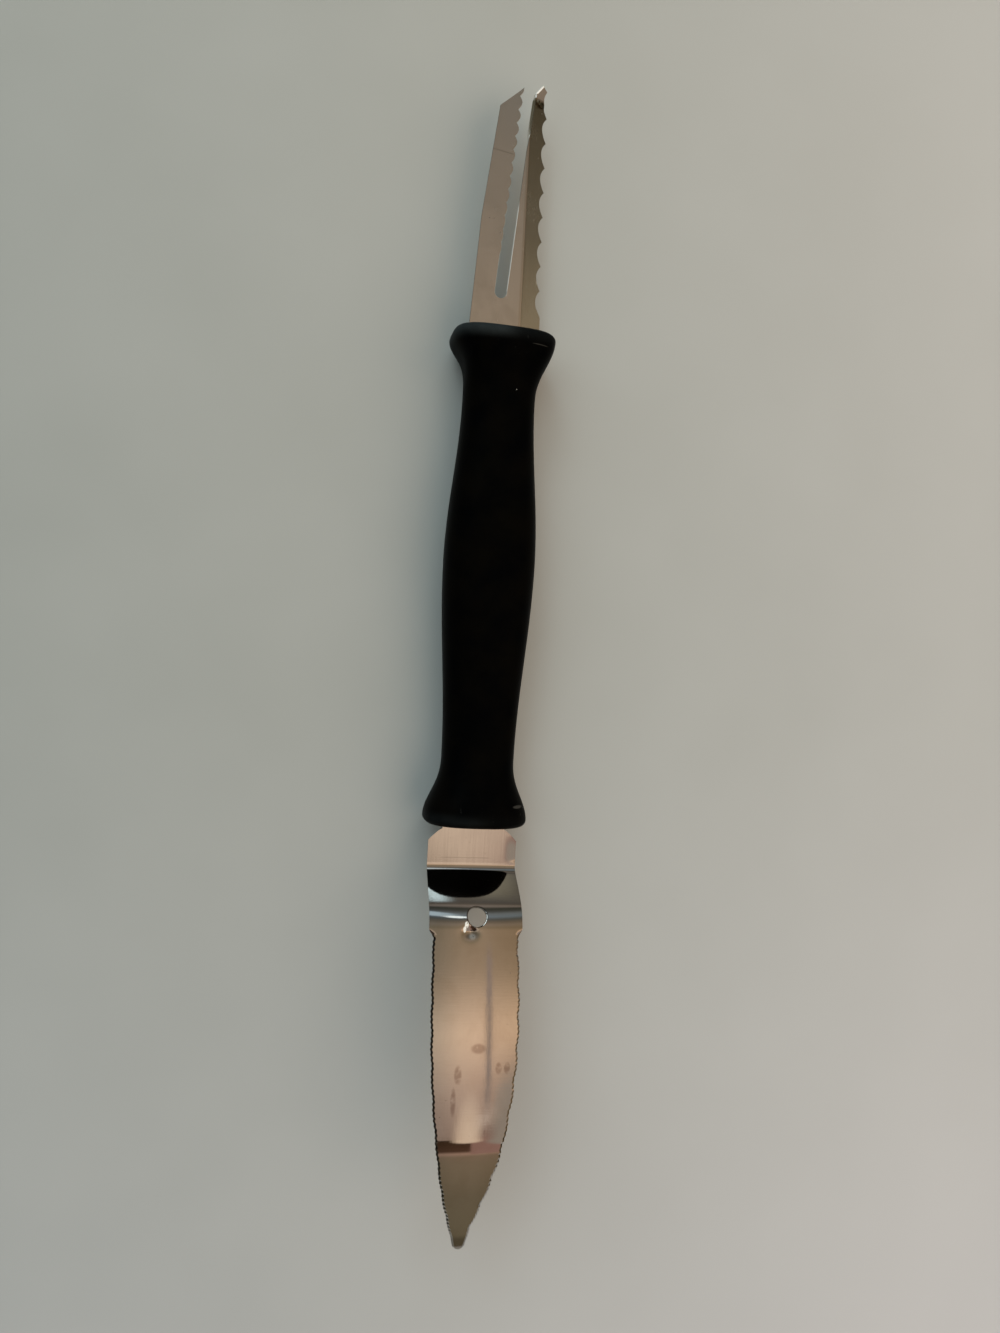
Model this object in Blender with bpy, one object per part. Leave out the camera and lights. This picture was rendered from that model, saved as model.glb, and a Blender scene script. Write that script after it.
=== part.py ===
"""Grapefruit knife: a moulded handle with a curved serrated blade at one end and a twin blade at the other.

Metres, +Z up. The knife lies on the surface z = 0 with its handle along Y: the twin blade points to +Y
and the curved blade to -Y. The empty "grapefruit_knife" carries the three pieces. Each piece is modelled
from the middle of the handle's end face that it belongs to, so its own y is a distance from that face.
"""
import math

import bmesh
import bpy
from mathutils import Matrix, Vector

for thing in list(bpy.data.objects):
    bpy.data.objects.remove(thing, do_unlink=True)

# Clearance that two touching pieces keep all round, how far a cutter runs past the face it opens,
# a length that only has to be ample, and a distance too small to matter
CLEARANCE = 0.0003
OVERSHOOT = 0.001
AMPLE = 0.060
TINY = 1e-6

# Handle: an oval moulding, flared at both ends
HANDLE_LENGTH = 0.1018
FLARE_WIDTH = 0.0214
BELLY_WIDTH = 0.0190
WAIST_WIDTH = 0.0150
FLARE_HEIGHT = 0.0178
BELLY_HEIGHT = 0.0154
WAIST_HEIGHT = 0.0126
FLARE_SETBACK = 0.0015
WAIST_SETBACK = 0.0138
BELLY_OFFSET = 0.0039
RIM_ROUNDING = 0.0019
RIM_ROUNDING_UPRIGHT = 0.0026
REST_FLAT_DEPTH = 0.0004
GRIP_POWER = 2.4
FLARE_POWER = 3.2
OVAL_POINTS = 44
FLARE_ONSET = 1.25

# Tangs: the hidden ends of both blades, each with a hole that the handle's plastic fills
TANG_LENGTH = 0.036
TANG_WIDTH = 0.0084
ROOT_DEPTH = 0.0040
TANG_HOLE_DIAMETER = 0.0048
TANG_HOLE_INSET = 0.007

# Curved blade: steel sheet, bent along its length
BLADE_THICKNESS = 0.0008
NECK_WIDTH = 0.0130
NECK_LENGTH = 0.0010
SHANK_WIDTH = 0.0186
SHANK_LENGTH = 0.0094
SHOULDER_LENGTH = 0.0024
BEND_WIDTH = 0.0190
FOLD_RADIUS = 0.0012
RISER_ANGLE = math.radians(45)
RISER_LENGTH = 0.0075
BEND_RADIUS = 0.0082
FACE_ANGLE = math.radians(10)
FACE_LENGTH = 0.0405
CREASE_RADIUS = 0.0065
DIP_ANGLE = math.radians(8)
TIP_LENGTH = 0.0255
TIP_ANGLE = math.radians(34)
TIP_WIDTH = 0.0018
BLADE_CROWN = 0.00045
EDGE_STEP = 0.0007
TIP_SHIFT = 0.0005
LEFT_FULLNESS = 2.6
LEFT_FALL = 1.2
RIGHT_FULLNESS = 3.6
RIGHT_FALL = 2.2
RIGHT_BELLY = 0.0007
RIGHT_BELLY_REACH = 0.62
BLADE_SHIFT = 0.0002
WAVE_PITCH = 0.0061
TEETH_PER_WAVE = 6
WAVE_DEPTH = 0.0004
TOOTH_DEPTH = 0.00016
GRIND_WIDTH = 0.0006
GRIND_EDGE = 0.0002
HANGING_HOLE_DIAMETER = 0.0038
HANGING_HOLE_PAST_BEND = 0.0027
HANGING_HOLE_SHIFT = 0.00035

# Twin blade: steel sheet with one side folded down
FORK_THICKNESS = 0.0008
FORK_LEAN = math.radians(0.45)
FORK_ROOT_LEFT = 0.0073
FORK_FOLD_RIGHT = 0.0033
FORK_LEFT_TAPER_ANGLE = math.radians(3.6)
LEFT_KNEE = 0.0243
LEFT_TINE_TAPER_ANGLE = math.radians(6.8)
FORK_FOLD_RADIUS = 0.0008
FORK_ROOT_RIGHT = 0.0060
FLANGE_ANGLE = math.radians(37)
FLANGE_WIDTH = 0.0061
FLANGE_ROOT_WIDER = 0.0003
FLANGE_TAPER_ANGLE = math.radians(0.78)
FORK_TANG_SHIFT = 0.0008
SLOT_WIDTH = 0.0025
SLOT_START = 0.0077
SLOT_SHIFT = 0.0009
SLOT_LEFT_ANGLE = math.radians(4.45)
SLOT_RIGHT_ANGLE = math.radians(5.05)
BUMP_PITCH = 0.0028
BUMP_COUNT = 13
BUMP_HEIGHT = 0.0005
BUMP_START = 0.00045
RIGHT_TINE_LENGTH = 0.0536
RIGHT_TINE_BEVEL = 0.0022
RIGHT_TINE_PEAK = 0.0060
TINE_STAGGER = 0.0017
LEFT_TINE_BEVEL_ANGLE = math.radians(41.6)
LAST_TOOTH_INSET = 0.0005
FLANGE_TOOTH_PITCH = 0.0052
FLANGE_TOOTH_DEPTH = 0.0011
FLANGE_TEETH = 9

# Heights and sizes that follow from the ones above
AXIS_HEIGHT = FLARE_HEIGHT / 2 - REST_FLAT_DEPTH
HALF_HANDLE = HANDLE_LENGTH / 2
TOOTH_PITCH = WAVE_PITCH / TEETH_PER_WAVE
TANG_HOLE_PLACE = TANG_LENGTH - TANG_HOLE_INSET
FLANGE_REACH = FLANGE_WIDTH * math.cos(FLANGE_ANGLE)
LEFT_TINE_LENGTH = RIGHT_TINE_LENGTH - TINE_STAGGER
RIGHT_TINE_CORNER = RIGHT_TINE_LENGTH - RIGHT_TINE_BEVEL
LAST_TOOTH = RIGHT_TINE_LENGTH - LAST_TOOTH_INSET


def steel_material(name, shade, roughness):
    """Polished stainless steel: metallic, nearly neutral."""
    material = bpy.data.materials.new(name)
    material.use_nodes = True
    shader = material.node_tree.nodes["Principled BSDF"]
    shader.inputs["Base Color"].default_value = (shade, shade * 0.97, shade * 0.92, 1)
    shader.inputs["Metallic"].default_value = 1.0
    shader.inputs["Roughness"].default_value = roughness
    material.diffuse_color = (shade, shade * 0.97, shade * 0.92, 1)
    return material


def plastic_material(name):
    """Black satin plastic."""
    material = bpy.data.materials.new(name)
    material.use_nodes = True
    shader = material.node_tree.nodes["Principled BSDF"]
    shader.inputs["Base Color"].default_value = (0.012, 0.012, 0.013, 1)
    shader.inputs["Roughness"].default_value = 0.42
    material.diffuse_color = (0.03, 0.03, 0.035, 1)
    return material


def new_object(name, mesh_builder, material=None):
    """Turn a bmesh into a named object with outward faces."""
    mesh = bpy.data.meshes.new(name)
    bmesh.ops.recalc_face_normals(mesh_builder, faces=mesh_builder.faces[:])
    mesh_builder.to_mesh(mesh)
    mesh_builder.free()
    thing = bpy.data.objects.new(name, mesh)
    bpy.context.collection.objects.link(thing)
    if material:
        mesh.materials.append(material)
        mesh.shade_smooth()
        mesh.set_sharp_from_angle(angle=math.radians(30))
    return thing


def skin(rings):
    """Join rings of points, all with the same number of points, into one closed body."""
    builder = bmesh.new()
    loops = [[builder.verts.new(point) for point in ring] for ring in rings]
    count = len(rings[0])
    for near, far in zip(loops, loops[1:]):
        for i in range(count):
            j = (i + 1) % count
            builder.faces.new((near[i], near[j], far[j], far[i]))
    builder.faces.new(list(reversed(loops[0])))
    builder.faces.new(loops[-1])
    return builder


def prism(outline, low, high):
    """An upright prism over an outline of (x, y) points."""
    return skin([[(x, y, z) for x, y in outline] for z in (low, high)])


def round_bar(diameter, length, centre, direction, sides=32):
    """A cylinder round a centre, with its axis along a direction."""
    builder = bmesh.new()
    turn = Vector((0, 0, 1)).rotation_difference(direction).to_matrix().to_4x4()
    bmesh.ops.create_cone(builder, cap_ends=True, segments=sides, radius1=diameter / 2, radius2=diameter / 2,
                          depth=length, matrix=Matrix.Translation(centre) @ turn)
    return builder


def as_cutter(thing):
    """Mark a helper that only shapes another piece."""
    thing.hide_render = True
    thing.display_type = 'WIRE'
    return thing


def combine(thing, cutter, operation):
    """Add a live Boolean to a piece."""
    cut = thing.modifiers.new(cutter.name, 'BOOLEAN')
    cut.object = cutter
    cut.operation = operation
    cut.solver = 'EXACT'


def ease(t):
    """Smooth step from 0 to 1."""
    return (1 - math.cos(math.pi * min(max(t, 0), 1))) / 2


def handle_half_size(y, flare, waist, belly, rounding):
    """Half of the handle's width or height at a distance y from its middle."""
    flare_place = HALF_HANDLE - FLARE_SETBACK
    waist_place = HALF_HANDLE - WAIST_SETBACK
    reach = abs(y)
    if reach > flare_place:
        t = min((reach - flare_place) / FLARE_SETBACK, 1)
        return flare / 2 - rounding * (1 - math.sqrt(1 - t * t))
    if reach > waist_place:
        t = (reach - waist_place) / (flare_place - waist_place)
        return (waist + (flare - waist) * ease(t ** FLARE_ONSET)) / 2
    if y > BELLY_OFFSET:
        t = (y - BELLY_OFFSET) / (waist_place - BELLY_OFFSET)
    else:
        t = (BELLY_OFFSET - y) / (waist_place + BELLY_OFFSET)
    return (belly + (waist - belly) * ease(t)) / 2


def oval_power(y):
    """Squareness of the handle's section: softer along the grip, squarer at the flares."""
    waist_place = HALF_HANDLE - WAIST_SETBACK
    squared = ease((abs(y) - waist_place) / (HALF_HANDLE - waist_place))
    return GRIP_POWER + (FLARE_POWER - GRIP_POWER) * squared


def handle_stations():
    """Where the handle's sections are taken: close at the rims, wide along the grip."""
    flare_place = HALF_HANDLE - FLARE_SETBACK
    waist_place = HALF_HANDLE - WAIST_SETBACK
    rim_steps = 6
    neck_steps = 9
    grip_steps = 22
    rim = [flare_place + FLARE_SETBACK * math.sin(math.pi / 2 * k / rim_steps) for k in range(rim_steps + 1)]
    neck = [waist_place + (flare_place - waist_place) * k / neck_steps for k in range(neck_steps)]
    grip = [waist_place * (2 * k / grip_steps - 1) for k in range(1, grip_steps)]
    outer = neck + rim
    return [-y for y in reversed(outer)] + grip + outer


def make_handle(material):
    """The moulding, before the tangs' pockets are cut: oval sections with two flats to lie on."""
    rings = []
    for y in handle_stations():
        a = handle_half_size(y, FLARE_WIDTH, WAIST_WIDTH, BELLY_WIDTH, RIM_ROUNDING)
        b = handle_half_size(y, FLARE_HEIGHT, WAIST_HEIGHT, BELLY_HEIGHT, RIM_ROUNDING_UPRIGHT)
        power = oval_power(y)
        ring = []
        for k in range(OVAL_POINTS):
            angle = 2 * math.pi * (k + 0.5) / OVAL_POINTS
            c, s = math.cos(angle), math.sin(angle)
            x = a * math.copysign(abs(c) ** (2 / power), c)
            z = b * math.copysign(abs(s) ** (2 / power), s)
            ring.append((x, y, z))
        rings.append(ring)
    builder = skin(rings)
    bmesh.ops.recalc_face_normals(builder, faces=builder.faces[:])
    whole = builder.verts[:] + builder.edges[:] + builder.faces[:]
    cut = bmesh.ops.bisect_plane(builder, geom=whole, dist=TINY / 10, plane_co=(0, 0, -AXIS_HEIGHT),
                                 plane_no=(0, 0, -1), clear_outer=True)
    rims = [item for item in cut["geom_cut"] if isinstance(item, bmesh.types.BMEdge)]
    bmesh.ops.edgenet_fill(builder, edges=rims)
    return new_object("handle", builder, material)


def tang_post(name, place):
    """The plastic that fills a tang's hole and joins the moulding above and below it."""
    diameter = TANG_HOLE_DIAMETER - 2 * CLEARANCE
    height = min(WAIST_HEIGHT, BELLY_HEIGHT) / 2
    return as_cutter(new_object(name, round_bar(diameter, height, place, Vector((0, 0, 1)), sides=24)))


def blade_segments():
    """The curved blade's side profile from the handle's end face outwards: (length, turn) pairs."""
    bend_turn = FACE_ANGLE - RISER_ANGLE
    crease_turn = -(FACE_ANGLE + DIP_ANGLE)
    return [(SHANK_LENGTH, 0.0), (FOLD_RADIUS * RISER_ANGLE, RISER_ANGLE), (RISER_LENGTH, 0.0),
            (BEND_RADIUS * abs(bend_turn), bend_turn), (FACE_LENGTH, 0.0),
            (CREASE_RADIUS * abs(crease_turn), crease_turn), (TIP_LENGTH, DIP_ANGLE - TIP_ANGLE)]


def blade_marks():
    """Distance along the profile at which each segment starts, and the profile's end."""
    marks = [0.0]
    for length, _ in blade_segments():
        marks.append(marks[-1] + length)
    return marks


FOLD_START, RISER_START, BEND_START, FACE_START, CREASE_START, TIP_START, BLADE_END = blade_marks()[1:]
EDGE_START = FACE_START + 2 * EDGE_STEP


def blade_profile(s):
    """Place (y, z) and slope of the sheet's middle at a distance s along the profile."""
    out, up, slope = min(s, 0.0), 0.0, 0.0
    left = s
    for length, turn in blade_segments():
        run = min(max(left, 0.0), length)
        if turn:
            rate = turn / length
            out += (math.sin(slope + rate * run) - math.sin(slope)) / rate
            up += (math.cos(slope) - math.cos(slope + rate * run)) / rate
            slope += rate * run
        else:
            out += run * math.cos(slope)
            up += run * math.sin(slope)
        left -= length
    return -out, up, slope


def serration(s, phase):
    """How far the cutting edge is set back: long waves with fine teeth on them."""
    along = (s - EDGE_START) / WAVE_PITCH + phase
    wave = 1 - abs(math.sin(math.pi * along))
    tooth = abs((2 * (s - EDGE_START) / TOOTH_PITCH) % 2 - 1)
    return WAVE_DEPTH * wave + TOOTH_DEPTH * (1 - tooth)


def plain_edge(s, side):
    """x of the curved blade's left (-1) or right (1) edge at a distance s, before the teeth are cut."""
    if s < -ROOT_DEPTH:
        return side * TANG_WIDTH / 2
    if s < NECK_LENGTH:
        return side * NECK_WIDTH / 2
    if s < NECK_LENGTH + SHOULDER_LENGTH:
        t = (s - NECK_LENGTH) / SHOULDER_LENGTH
        return side * (NECK_WIDTH + (SHANK_WIDTH - NECK_WIDTH) * math.sqrt(t)) / 2
    raised = ease((s - FOLD_START) / (BEND_START - FOLD_START))
    half = (SHANK_WIDTH + (BEND_WIDTH - SHANK_WIDTH) * raised) / 2
    step = EDGE_STEP * ease((s - FACE_START) / (EDGE_START - FACE_START))
    f = min(max((s - EDGE_START) / (BLADE_END - EDGE_START), 0.0), 1.0)
    fullness, fall = (LEFT_FULLNESS, LEFT_FALL) if side < 0 else (RIGHT_FULLNESS, RIGHT_FALL)
    keep = (1 - f ** fullness) ** fall
    if side > 0:
        half += RIGHT_BELLY * math.sin(math.pi * min(f / RIGHT_BELLY_REACH, 1.0))
    broad, narrow = BLADE_SHIFT * raised + side * (half - step), TIP_SHIFT + side * TIP_WIDTH / 2
    return keep * broad + (1 - keep) * narrow


def blade_edges(s):
    """Left and right x of the curved blade's outline at a distance s along its profile."""
    left, right = plain_edge(s, -1), plain_edge(s, 1)
    if s > EDGE_START:
        fade = min((BLADE_END - s) / WAVE_PITCH, 1.0)
        left += fade * serration(s, 0.0)
        right -= fade * serration(s, 0.5)
    nose = s - (BLADE_END - TIP_WIDTH / 2)
    if nose > 0:
        drawn_in = TIP_WIDTH / 2 - math.sqrt(max((TIP_WIDTH / 2) ** 2 - nose ** 2, (GRIND_EDGE / 2) ** 2))
        left += drawn_in
        right -= drawn_in
    return left, right


def blade_point(s, x, off):
    """A point of the sheet: x across it, off its middle surface, bent along the profile."""
    y, z, slope = blade_profile(s)
    left, right = plain_edge(s, -1), plain_edge(s, 1)
    middle, half = (left + right) / 2, (right - left) / 2
    raised = ease((s - FOLD_START) / (FACE_START - FOLD_START))
    lift = off + raised * BLADE_CROWN * (1 - ((x - middle) / half) ** 2) * (2 * half / BEND_WIDTH) ** 2
    return x, y + lift * math.sin(slope), z + lift * math.cos(slope)


def blade_stations():
    """Distances along the profile at which the sheet's section is taken."""
    places = [-TANG_LENGTH, -TANG_LENGTH / 2, -ROOT_DEPTH - CLEARANCE, -ROOT_DEPTH, 0.0]
    shoulder_end = NECK_LENGTH + SHOULDER_LENGTH
    places += [NECK_LENGTH + SHOULDER_LENGTH * (k / 5) ** 2 for k in range(6)]
    for start, end, steps in ((shoulder_end, FOLD_START, 2), (FOLD_START, RISER_START, 4),
                              (RISER_START, BEND_START, 5), (BEND_START, FACE_START, 8),
                              (FACE_START, EDGE_START, 3)):
        places += [start + (end - start) * (k + 1) / steps for k in range(steps)]
    teeth = int((BLADE_END - TIP_WIDTH / 2 - EDGE_START) / (TOOTH_PITCH / 2))
    places += [EDGE_START + TOOTH_PITCH / 2 * (k + 1) for k in range(teeth)]
    places += [BLADE_END - TIP_WIDTH / 2 * (1 - math.sin(math.pi / 2 * k / 5)) for k in range(6)]
    return [s for s, after in zip(places, places[1:] + [1.0]) if after - s > TINY]


def make_curved_blade(material):
    """The curved blade: one skin of bent sections, thin at the ground edges."""
    across = 5
    rings = []
    for s in blade_stations():
        left, right = blade_edges(s)
        ground = min(max((s - FACE_START) / (EDGE_START - FACE_START), 0.0), 1.0)
        rim = BLADE_THICKNESS / 2 + ground * (GRIND_EDGE - BLADE_THICKNESS) / 2
        grind = min(GRIND_WIDTH, (right - left) / 4)
        inner = [left + grind + (right - left - 2 * grind) * k / across for k in range(across + 1)]
        half = BLADE_THICKNESS / 2
        top = [(left, rim)] + [(x, half) for x in inner] + [(right, rim)]
        bottom = [(x, -off) for x, off in reversed(top)]
        rings.append([blade_point(s, x, off) for x, off in top + bottom])
    return new_object("curved_blade", skin(rings), material)


def make_hanging_hole():
    """Cutter for the round hole in the bend, square to the sheet there."""
    s = BEND_START + HANGING_HOLE_PAST_BEND
    centre = Vector(blade_point(s, HANGING_HOLE_SHIFT, 0.0))
    _, _, slope = blade_profile(s)
    upright = Vector((0, math.sin(slope), math.cos(slope)))
    bar = round_bar(HANGING_HOLE_DIAMETER, 8 * BLADE_THICKNESS, centre, upright, sides=36)
    return as_cutter(new_object("hanging_hole_cutter", bar))


def make_tang_pocket():
    """Cutter for the curved blade's pocket in the handle: a broad mouth, then the narrower tang."""
    half, tang_half = NECK_WIDTH / 2 + CLEARANCE, TANG_WIDTH / 2 + CLEARANCE
    thick = BLADE_THICKNESS / 2 + CLEARANCE
    step, end = ROOT_DEPTH + 2 * CLEARANCE, TANG_LENGTH + CLEARANCE
    right = [(half, -OVERSHOOT), (half, step), (tang_half, step), (tang_half, end)]
    left = [(-x, y) for x, y in reversed(right)]
    return as_cutter(new_object("blade_pocket_cutter", prism(right + left, -thick, thick)))


def fork_section(y, grow):
    """Section of the folded strip at y: a flat left part, a round fold and a flange that slopes down."""
    half = FORK_THICKNESS / 2 + grow
    turn_x = FORK_FOLD_RIGHT - FORK_FOLD_RADIUS * math.tan(FLANGE_ANGLE / 2)
    spine = [(-FORK_ROOT_LEFT - OVERSHOOT, 0.0, 0.0)]
    steps = 5
    for k in range(steps + 1):
        angle = FLANGE_ANGLE * k / steps
        x = turn_x + FORK_FOLD_RADIUS * math.sin(angle)
        z = -FORK_FOLD_RADIUS * (1 - math.cos(angle))
        spine.append((x, z, angle))
    reach = FLANGE_WIDTH + 2 * FORK_THICKNESS
    end_x = FORK_FOLD_RIGHT + reach * math.cos(FLANGE_ANGLE)
    spine.append((end_x, -reach * math.sin(FLANGE_ANGLE), FLANGE_ANGLE))
    top = [(x + half * math.sin(a), y, z + half * math.cos(a)) for x, z, a in spine]
    bottom = [(x - half * math.sin(a), y, z - half * math.cos(a)) for x, z, a in reversed(spine)]
    return top + bottom


def fork_left_edge(y):
    """x of the blade's left edge: a slight taper up to the knee and a stronger one past it."""
    near, far = min(y, LEFT_KNEE), max(y - LEFT_KNEE, 0.0)
    return -FORK_ROOT_LEFT + math.tan(FORK_LEFT_TAPER_ANGLE) * near + math.tan(LEFT_TINE_TAPER_ANGLE) * far


def slot_left(y):
    """x of the slot's plain left side."""
    return -SLOT_SHIFT - SLOT_WIDTH / 2 + math.tan(SLOT_LEFT_ANGLE) * (y - SLOT_START - SLOT_WIDTH / 2)


def slot_right(y):
    """x of the slot's right side."""
    return -SLOT_SHIFT + SLOT_WIDTH / 2 + math.tan(SLOT_RIGHT_ANGLE) * (y - SLOT_START - SLOT_WIDTH / 2)


def flange_edge(y):
    """x of the tips of the flange's teeth, seen from above."""
    return FORK_FOLD_RIGHT + FLANGE_REACH - math.tan(FLANGE_TAPER_ANGLE) * y


def flange_teeth():
    """Right edge of the plan outline: pointed teeth with round hollows between them, root to tip."""
    steps = 6
    first = LAST_TOOTH - FLANGE_TEETH * FLANGE_TOOTH_PITCH
    points = []
    for tooth in range(FLANGE_TEETH):
        for k in range(steps):
            part = k / steps
            y = first + (tooth + part) * FLANGE_TOOTH_PITCH
            points.append((flange_edge(y) - FLANGE_TOOTH_DEPTH * 4 * part * (1 - part), y))
    return points + [(flange_edge(LAST_TOOTH), LAST_TOOTH)]


def slot_outline():
    """The slot and all that lies past the tine ends, as one cutting outline."""
    low = SLOT_START + SLOT_WIDTH / 2
    steps = 10
    points = []
    for k in range(steps + 1):
        angle = math.pi * (1 + k / steps)
        across, along = SLOT_WIDTH / 2 * math.cos(angle), SLOT_WIDTH / 2 * math.sin(angle)
        points.append((across - SLOT_SHIFT, low + along))
    points += [(slot_right(RIGHT_TINE_CORNER), RIGHT_TINE_CORNER), (RIGHT_TINE_PEAK, RIGHT_TINE_LENGTH)]
    points += [(AMPLE, RIGHT_TINE_LENGTH)]
    points += [(AMPLE, 2 * AMPLE), (-AMPLE, 2 * AMPLE)]
    peak = slot_left(LEFT_TINE_LENGTH) + BUMP_HEIGHT
    far_left = LEFT_TINE_LENGTH - math.tan(LEFT_TINE_BEVEL_ANGLE) * (peak + AMPLE)
    points += [(-AMPLE, far_left), (peak, LEFT_TINE_LENGTH)]
    hollows = 5
    for bump in range(BUMP_COUNT):
        for k in range(hollows):
            part = k / hollows
            y = LEFT_TINE_LENGTH - BUMP_START - (bump + part) * BUMP_PITCH
            height = BUMP_HEIGHT * abs(math.cos(math.pi * part))
            points.append((slot_left(y) + height, y))
    return points


def root_outline(grow):
    """Plan outline of what the handle hides: a broad root for a short way, then the narrower tang."""
    left = fork_left_edge(-ROOT_DEPTH) - grow
    right = FORK_ROOT_RIGHT + grow
    tang_left = -FORK_TANG_SHIFT - TANG_WIDTH / 2 - grow
    tang_right = -FORK_TANG_SHIFT + TANG_WIDTH / 2 + grow
    return [(right, -ROOT_DEPTH - grow), (tang_right, -ROOT_DEPTH - grow),
            (tang_right, -TANG_LENGTH - grow), (tang_left, -TANG_LENGTH - grow),
            (tang_left, -ROOT_DEPTH - grow), (left, -ROOT_DEPTH - grow)]


def folded_strip(name, start, end, grow, material=None):
    """The folded strip between two stations, before its outline is cut."""
    return new_object(name, skin([fork_section(start, grow), fork_section(end, grow)]), material)


def make_twin_blade(material):
    """The twin blade: a folded strip, trimmed to its outline, with the slot between the tines cut out."""
    blade = folded_strip("twin_blade", -TANG_LENGTH - OVERSHOOT, RIGHT_TINE_LENGTH + OVERSHOOT, 0.0, material)
    end_y = RIGHT_TINE_LENGTH + AMPLE / 10
    left_side = [(fork_left_edge(y), y) for y in (LEFT_KNEE, end_y)]
    outline = root_outline(0.0) + left_side + [(flange_edge(end_y), end_y)]
    outline += list(reversed(flange_teeth()))
    outline += [(flange_edge(0) + FLANGE_ROOT_WIDER, CLEARANCE), (FORK_ROOT_RIGHT, CLEARANCE)]
    high = 4 * FORK_THICKNESS
    low = -high - FLANGE_WIDTH
    trim = as_cutter(new_object("twin_blade_outline", prism(outline, low, high)))
    slot = as_cutter(new_object("twin_blade_slot", prism(slot_outline(), low, high)))
    hole_place = (-FORK_TANG_SHIFT, -TANG_HOLE_PLACE, 0)
    hole = round_bar(TANG_HOLE_DIAMETER, 4 * FORK_THICKNESS, hole_place, Vector((0, 0, 1)), sides=32)
    hole = as_cutter(new_object("twin_blade_tang_hole", hole))
    combine(blade, trim, 'INTERSECT')
    combine(blade, slot, 'DIFFERENCE')
    combine(blade, hole, 'DIFFERENCE')
    return blade, [trim, slot, hole]


def make_fork_pocket():
    """Cutter for the twin blade's pocket in the handle: its section and outline, grown by the clearance."""
    pocket = folded_strip("fork_pocket_cutter", -TANG_LENGTH - OVERSHOOT, OVERSHOOT, CLEARANCE)
    left = fork_left_edge(OVERSHOOT) - CLEARANCE
    mouth = [(left, 2 * OVERSHOOT), (FORK_ROOT_RIGHT + CLEARANCE, 2 * OVERSHOOT)]
    outline = root_outline(CLEARANCE) + mouth
    trim = as_cutter(new_object("fork_pocket_outline", prism(outline, -2 * FLANGE_WIDTH, FLANGE_WIDTH)))
    combine(pocket, trim, 'INTERSECT')
    return as_cutter(pocket), trim


def build():
    """Make the three pieces, fit them together and centre the knife over the origin."""
    plastic = plastic_material("handle")
    blade_steel = steel_material("curved_blade", 0.74, 0.16)
    fork_steel = steel_material("twin_blade", 0.66, 0.22)

    handle = make_handle(plastic)
    curved_blade = make_curved_blade(blade_steel)
    twin_blade, fork_cutters = make_twin_blade(fork_steel)
    blade_pocket = make_tang_pocket()
    fork_pocket, fork_trim = make_fork_pocket()
    hanging_hole = make_hanging_hole()
    up = Vector((0, 0, 1))
    hole_place = Vector((0, TANG_HOLE_PLACE, 0))
    tang_hole = round_bar(TANG_HOLE_DIAMETER, 4 * BLADE_THICKNESS, hole_place, up)
    tang_hole = as_cutter(new_object("blade_tang_hole", tang_hole))
    blade_post = tang_post("blade_post", hole_place)
    fork_post = tang_post("fork_post", Vector((-FORK_TANG_SHIFT, -TANG_HOLE_PLACE, 0)))

    combine(curved_blade, hanging_hole, 'DIFFERENCE')
    combine(curved_blade, tang_hole, 'DIFFERENCE')
    combine(handle, blade_pocket, 'DIFFERENCE')
    combine(handle, fork_pocket, 'DIFFERENCE')
    combine(handle, blade_post, 'UNION')
    combine(handle, fork_post, 'UNION')

    knife = bpy.data.objects.new("grapefruit_knife", None)
    bpy.context.collection.objects.link(knife)
    handle.location = (0, 0, AXIS_HEIGHT)
    handle.parent = knife
    for thing in (curved_blade, blade_pocket, hanging_hole, tang_hole, blade_post):
        thing.location = (0, -HALF_HANDLE, AXIS_HEIGHT)
        thing.parent = knife
    for thing in (twin_blade, fork_pocket, fork_trim, fork_post, *fork_cutters):
        thing.location = (0, HALF_HANDLE, AXIS_HEIGHT)
        thing.rotation_euler = (0, 0, FORK_LEAN)
        thing.parent = knife

    end_y, _, slope = blade_profile(BLADE_END)
    blade_reach = HALF_HANDLE - end_y + GRIND_EDGE / 2 * abs(math.sin(slope))
    fork_reach = HALF_HANDLE + RIGHT_TINE_LENGTH
    knife.location = (0, (blade_reach - fork_reach) / 2, 0)
    bpy.context.view_layer.update()


build()
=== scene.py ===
# %% [markdown]
# # A double-ended grapefruit knife
# The real tool is a black moulded handle with a blade at each end. One is a curved, waved and
# toothed blade that frees the fruit from its skin. The other is a twin blade, which straddles the
# thin wall between two segments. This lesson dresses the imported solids: it keeps their sizes and
# builds each piece again with finer edges, teeth and finishes.

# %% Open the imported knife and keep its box
import math

import bmesh
import bpy
from mathutils import Matrix, Vector


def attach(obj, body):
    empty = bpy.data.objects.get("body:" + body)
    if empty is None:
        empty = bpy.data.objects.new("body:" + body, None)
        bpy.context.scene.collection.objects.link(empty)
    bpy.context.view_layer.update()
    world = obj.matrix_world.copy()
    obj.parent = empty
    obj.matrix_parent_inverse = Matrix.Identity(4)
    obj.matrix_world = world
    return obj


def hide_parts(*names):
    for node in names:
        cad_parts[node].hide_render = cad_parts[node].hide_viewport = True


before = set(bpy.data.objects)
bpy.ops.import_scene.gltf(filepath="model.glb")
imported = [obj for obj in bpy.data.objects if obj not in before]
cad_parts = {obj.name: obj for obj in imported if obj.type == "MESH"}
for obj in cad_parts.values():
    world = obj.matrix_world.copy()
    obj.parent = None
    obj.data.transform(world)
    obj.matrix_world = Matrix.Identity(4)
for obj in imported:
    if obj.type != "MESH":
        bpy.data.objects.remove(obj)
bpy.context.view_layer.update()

# %% [markdown]
# ## The camera
# The photograph was taken by hand from just above the table, a little to the left of the handle, so
# the lens sees the left sides of the pieces and the twin blade runs away to the top. A wide lens
# that is close by is what makes the near, raised blade look large. The camera's three axes are
# written down as turns, which is easier to read than a matrix.

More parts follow.
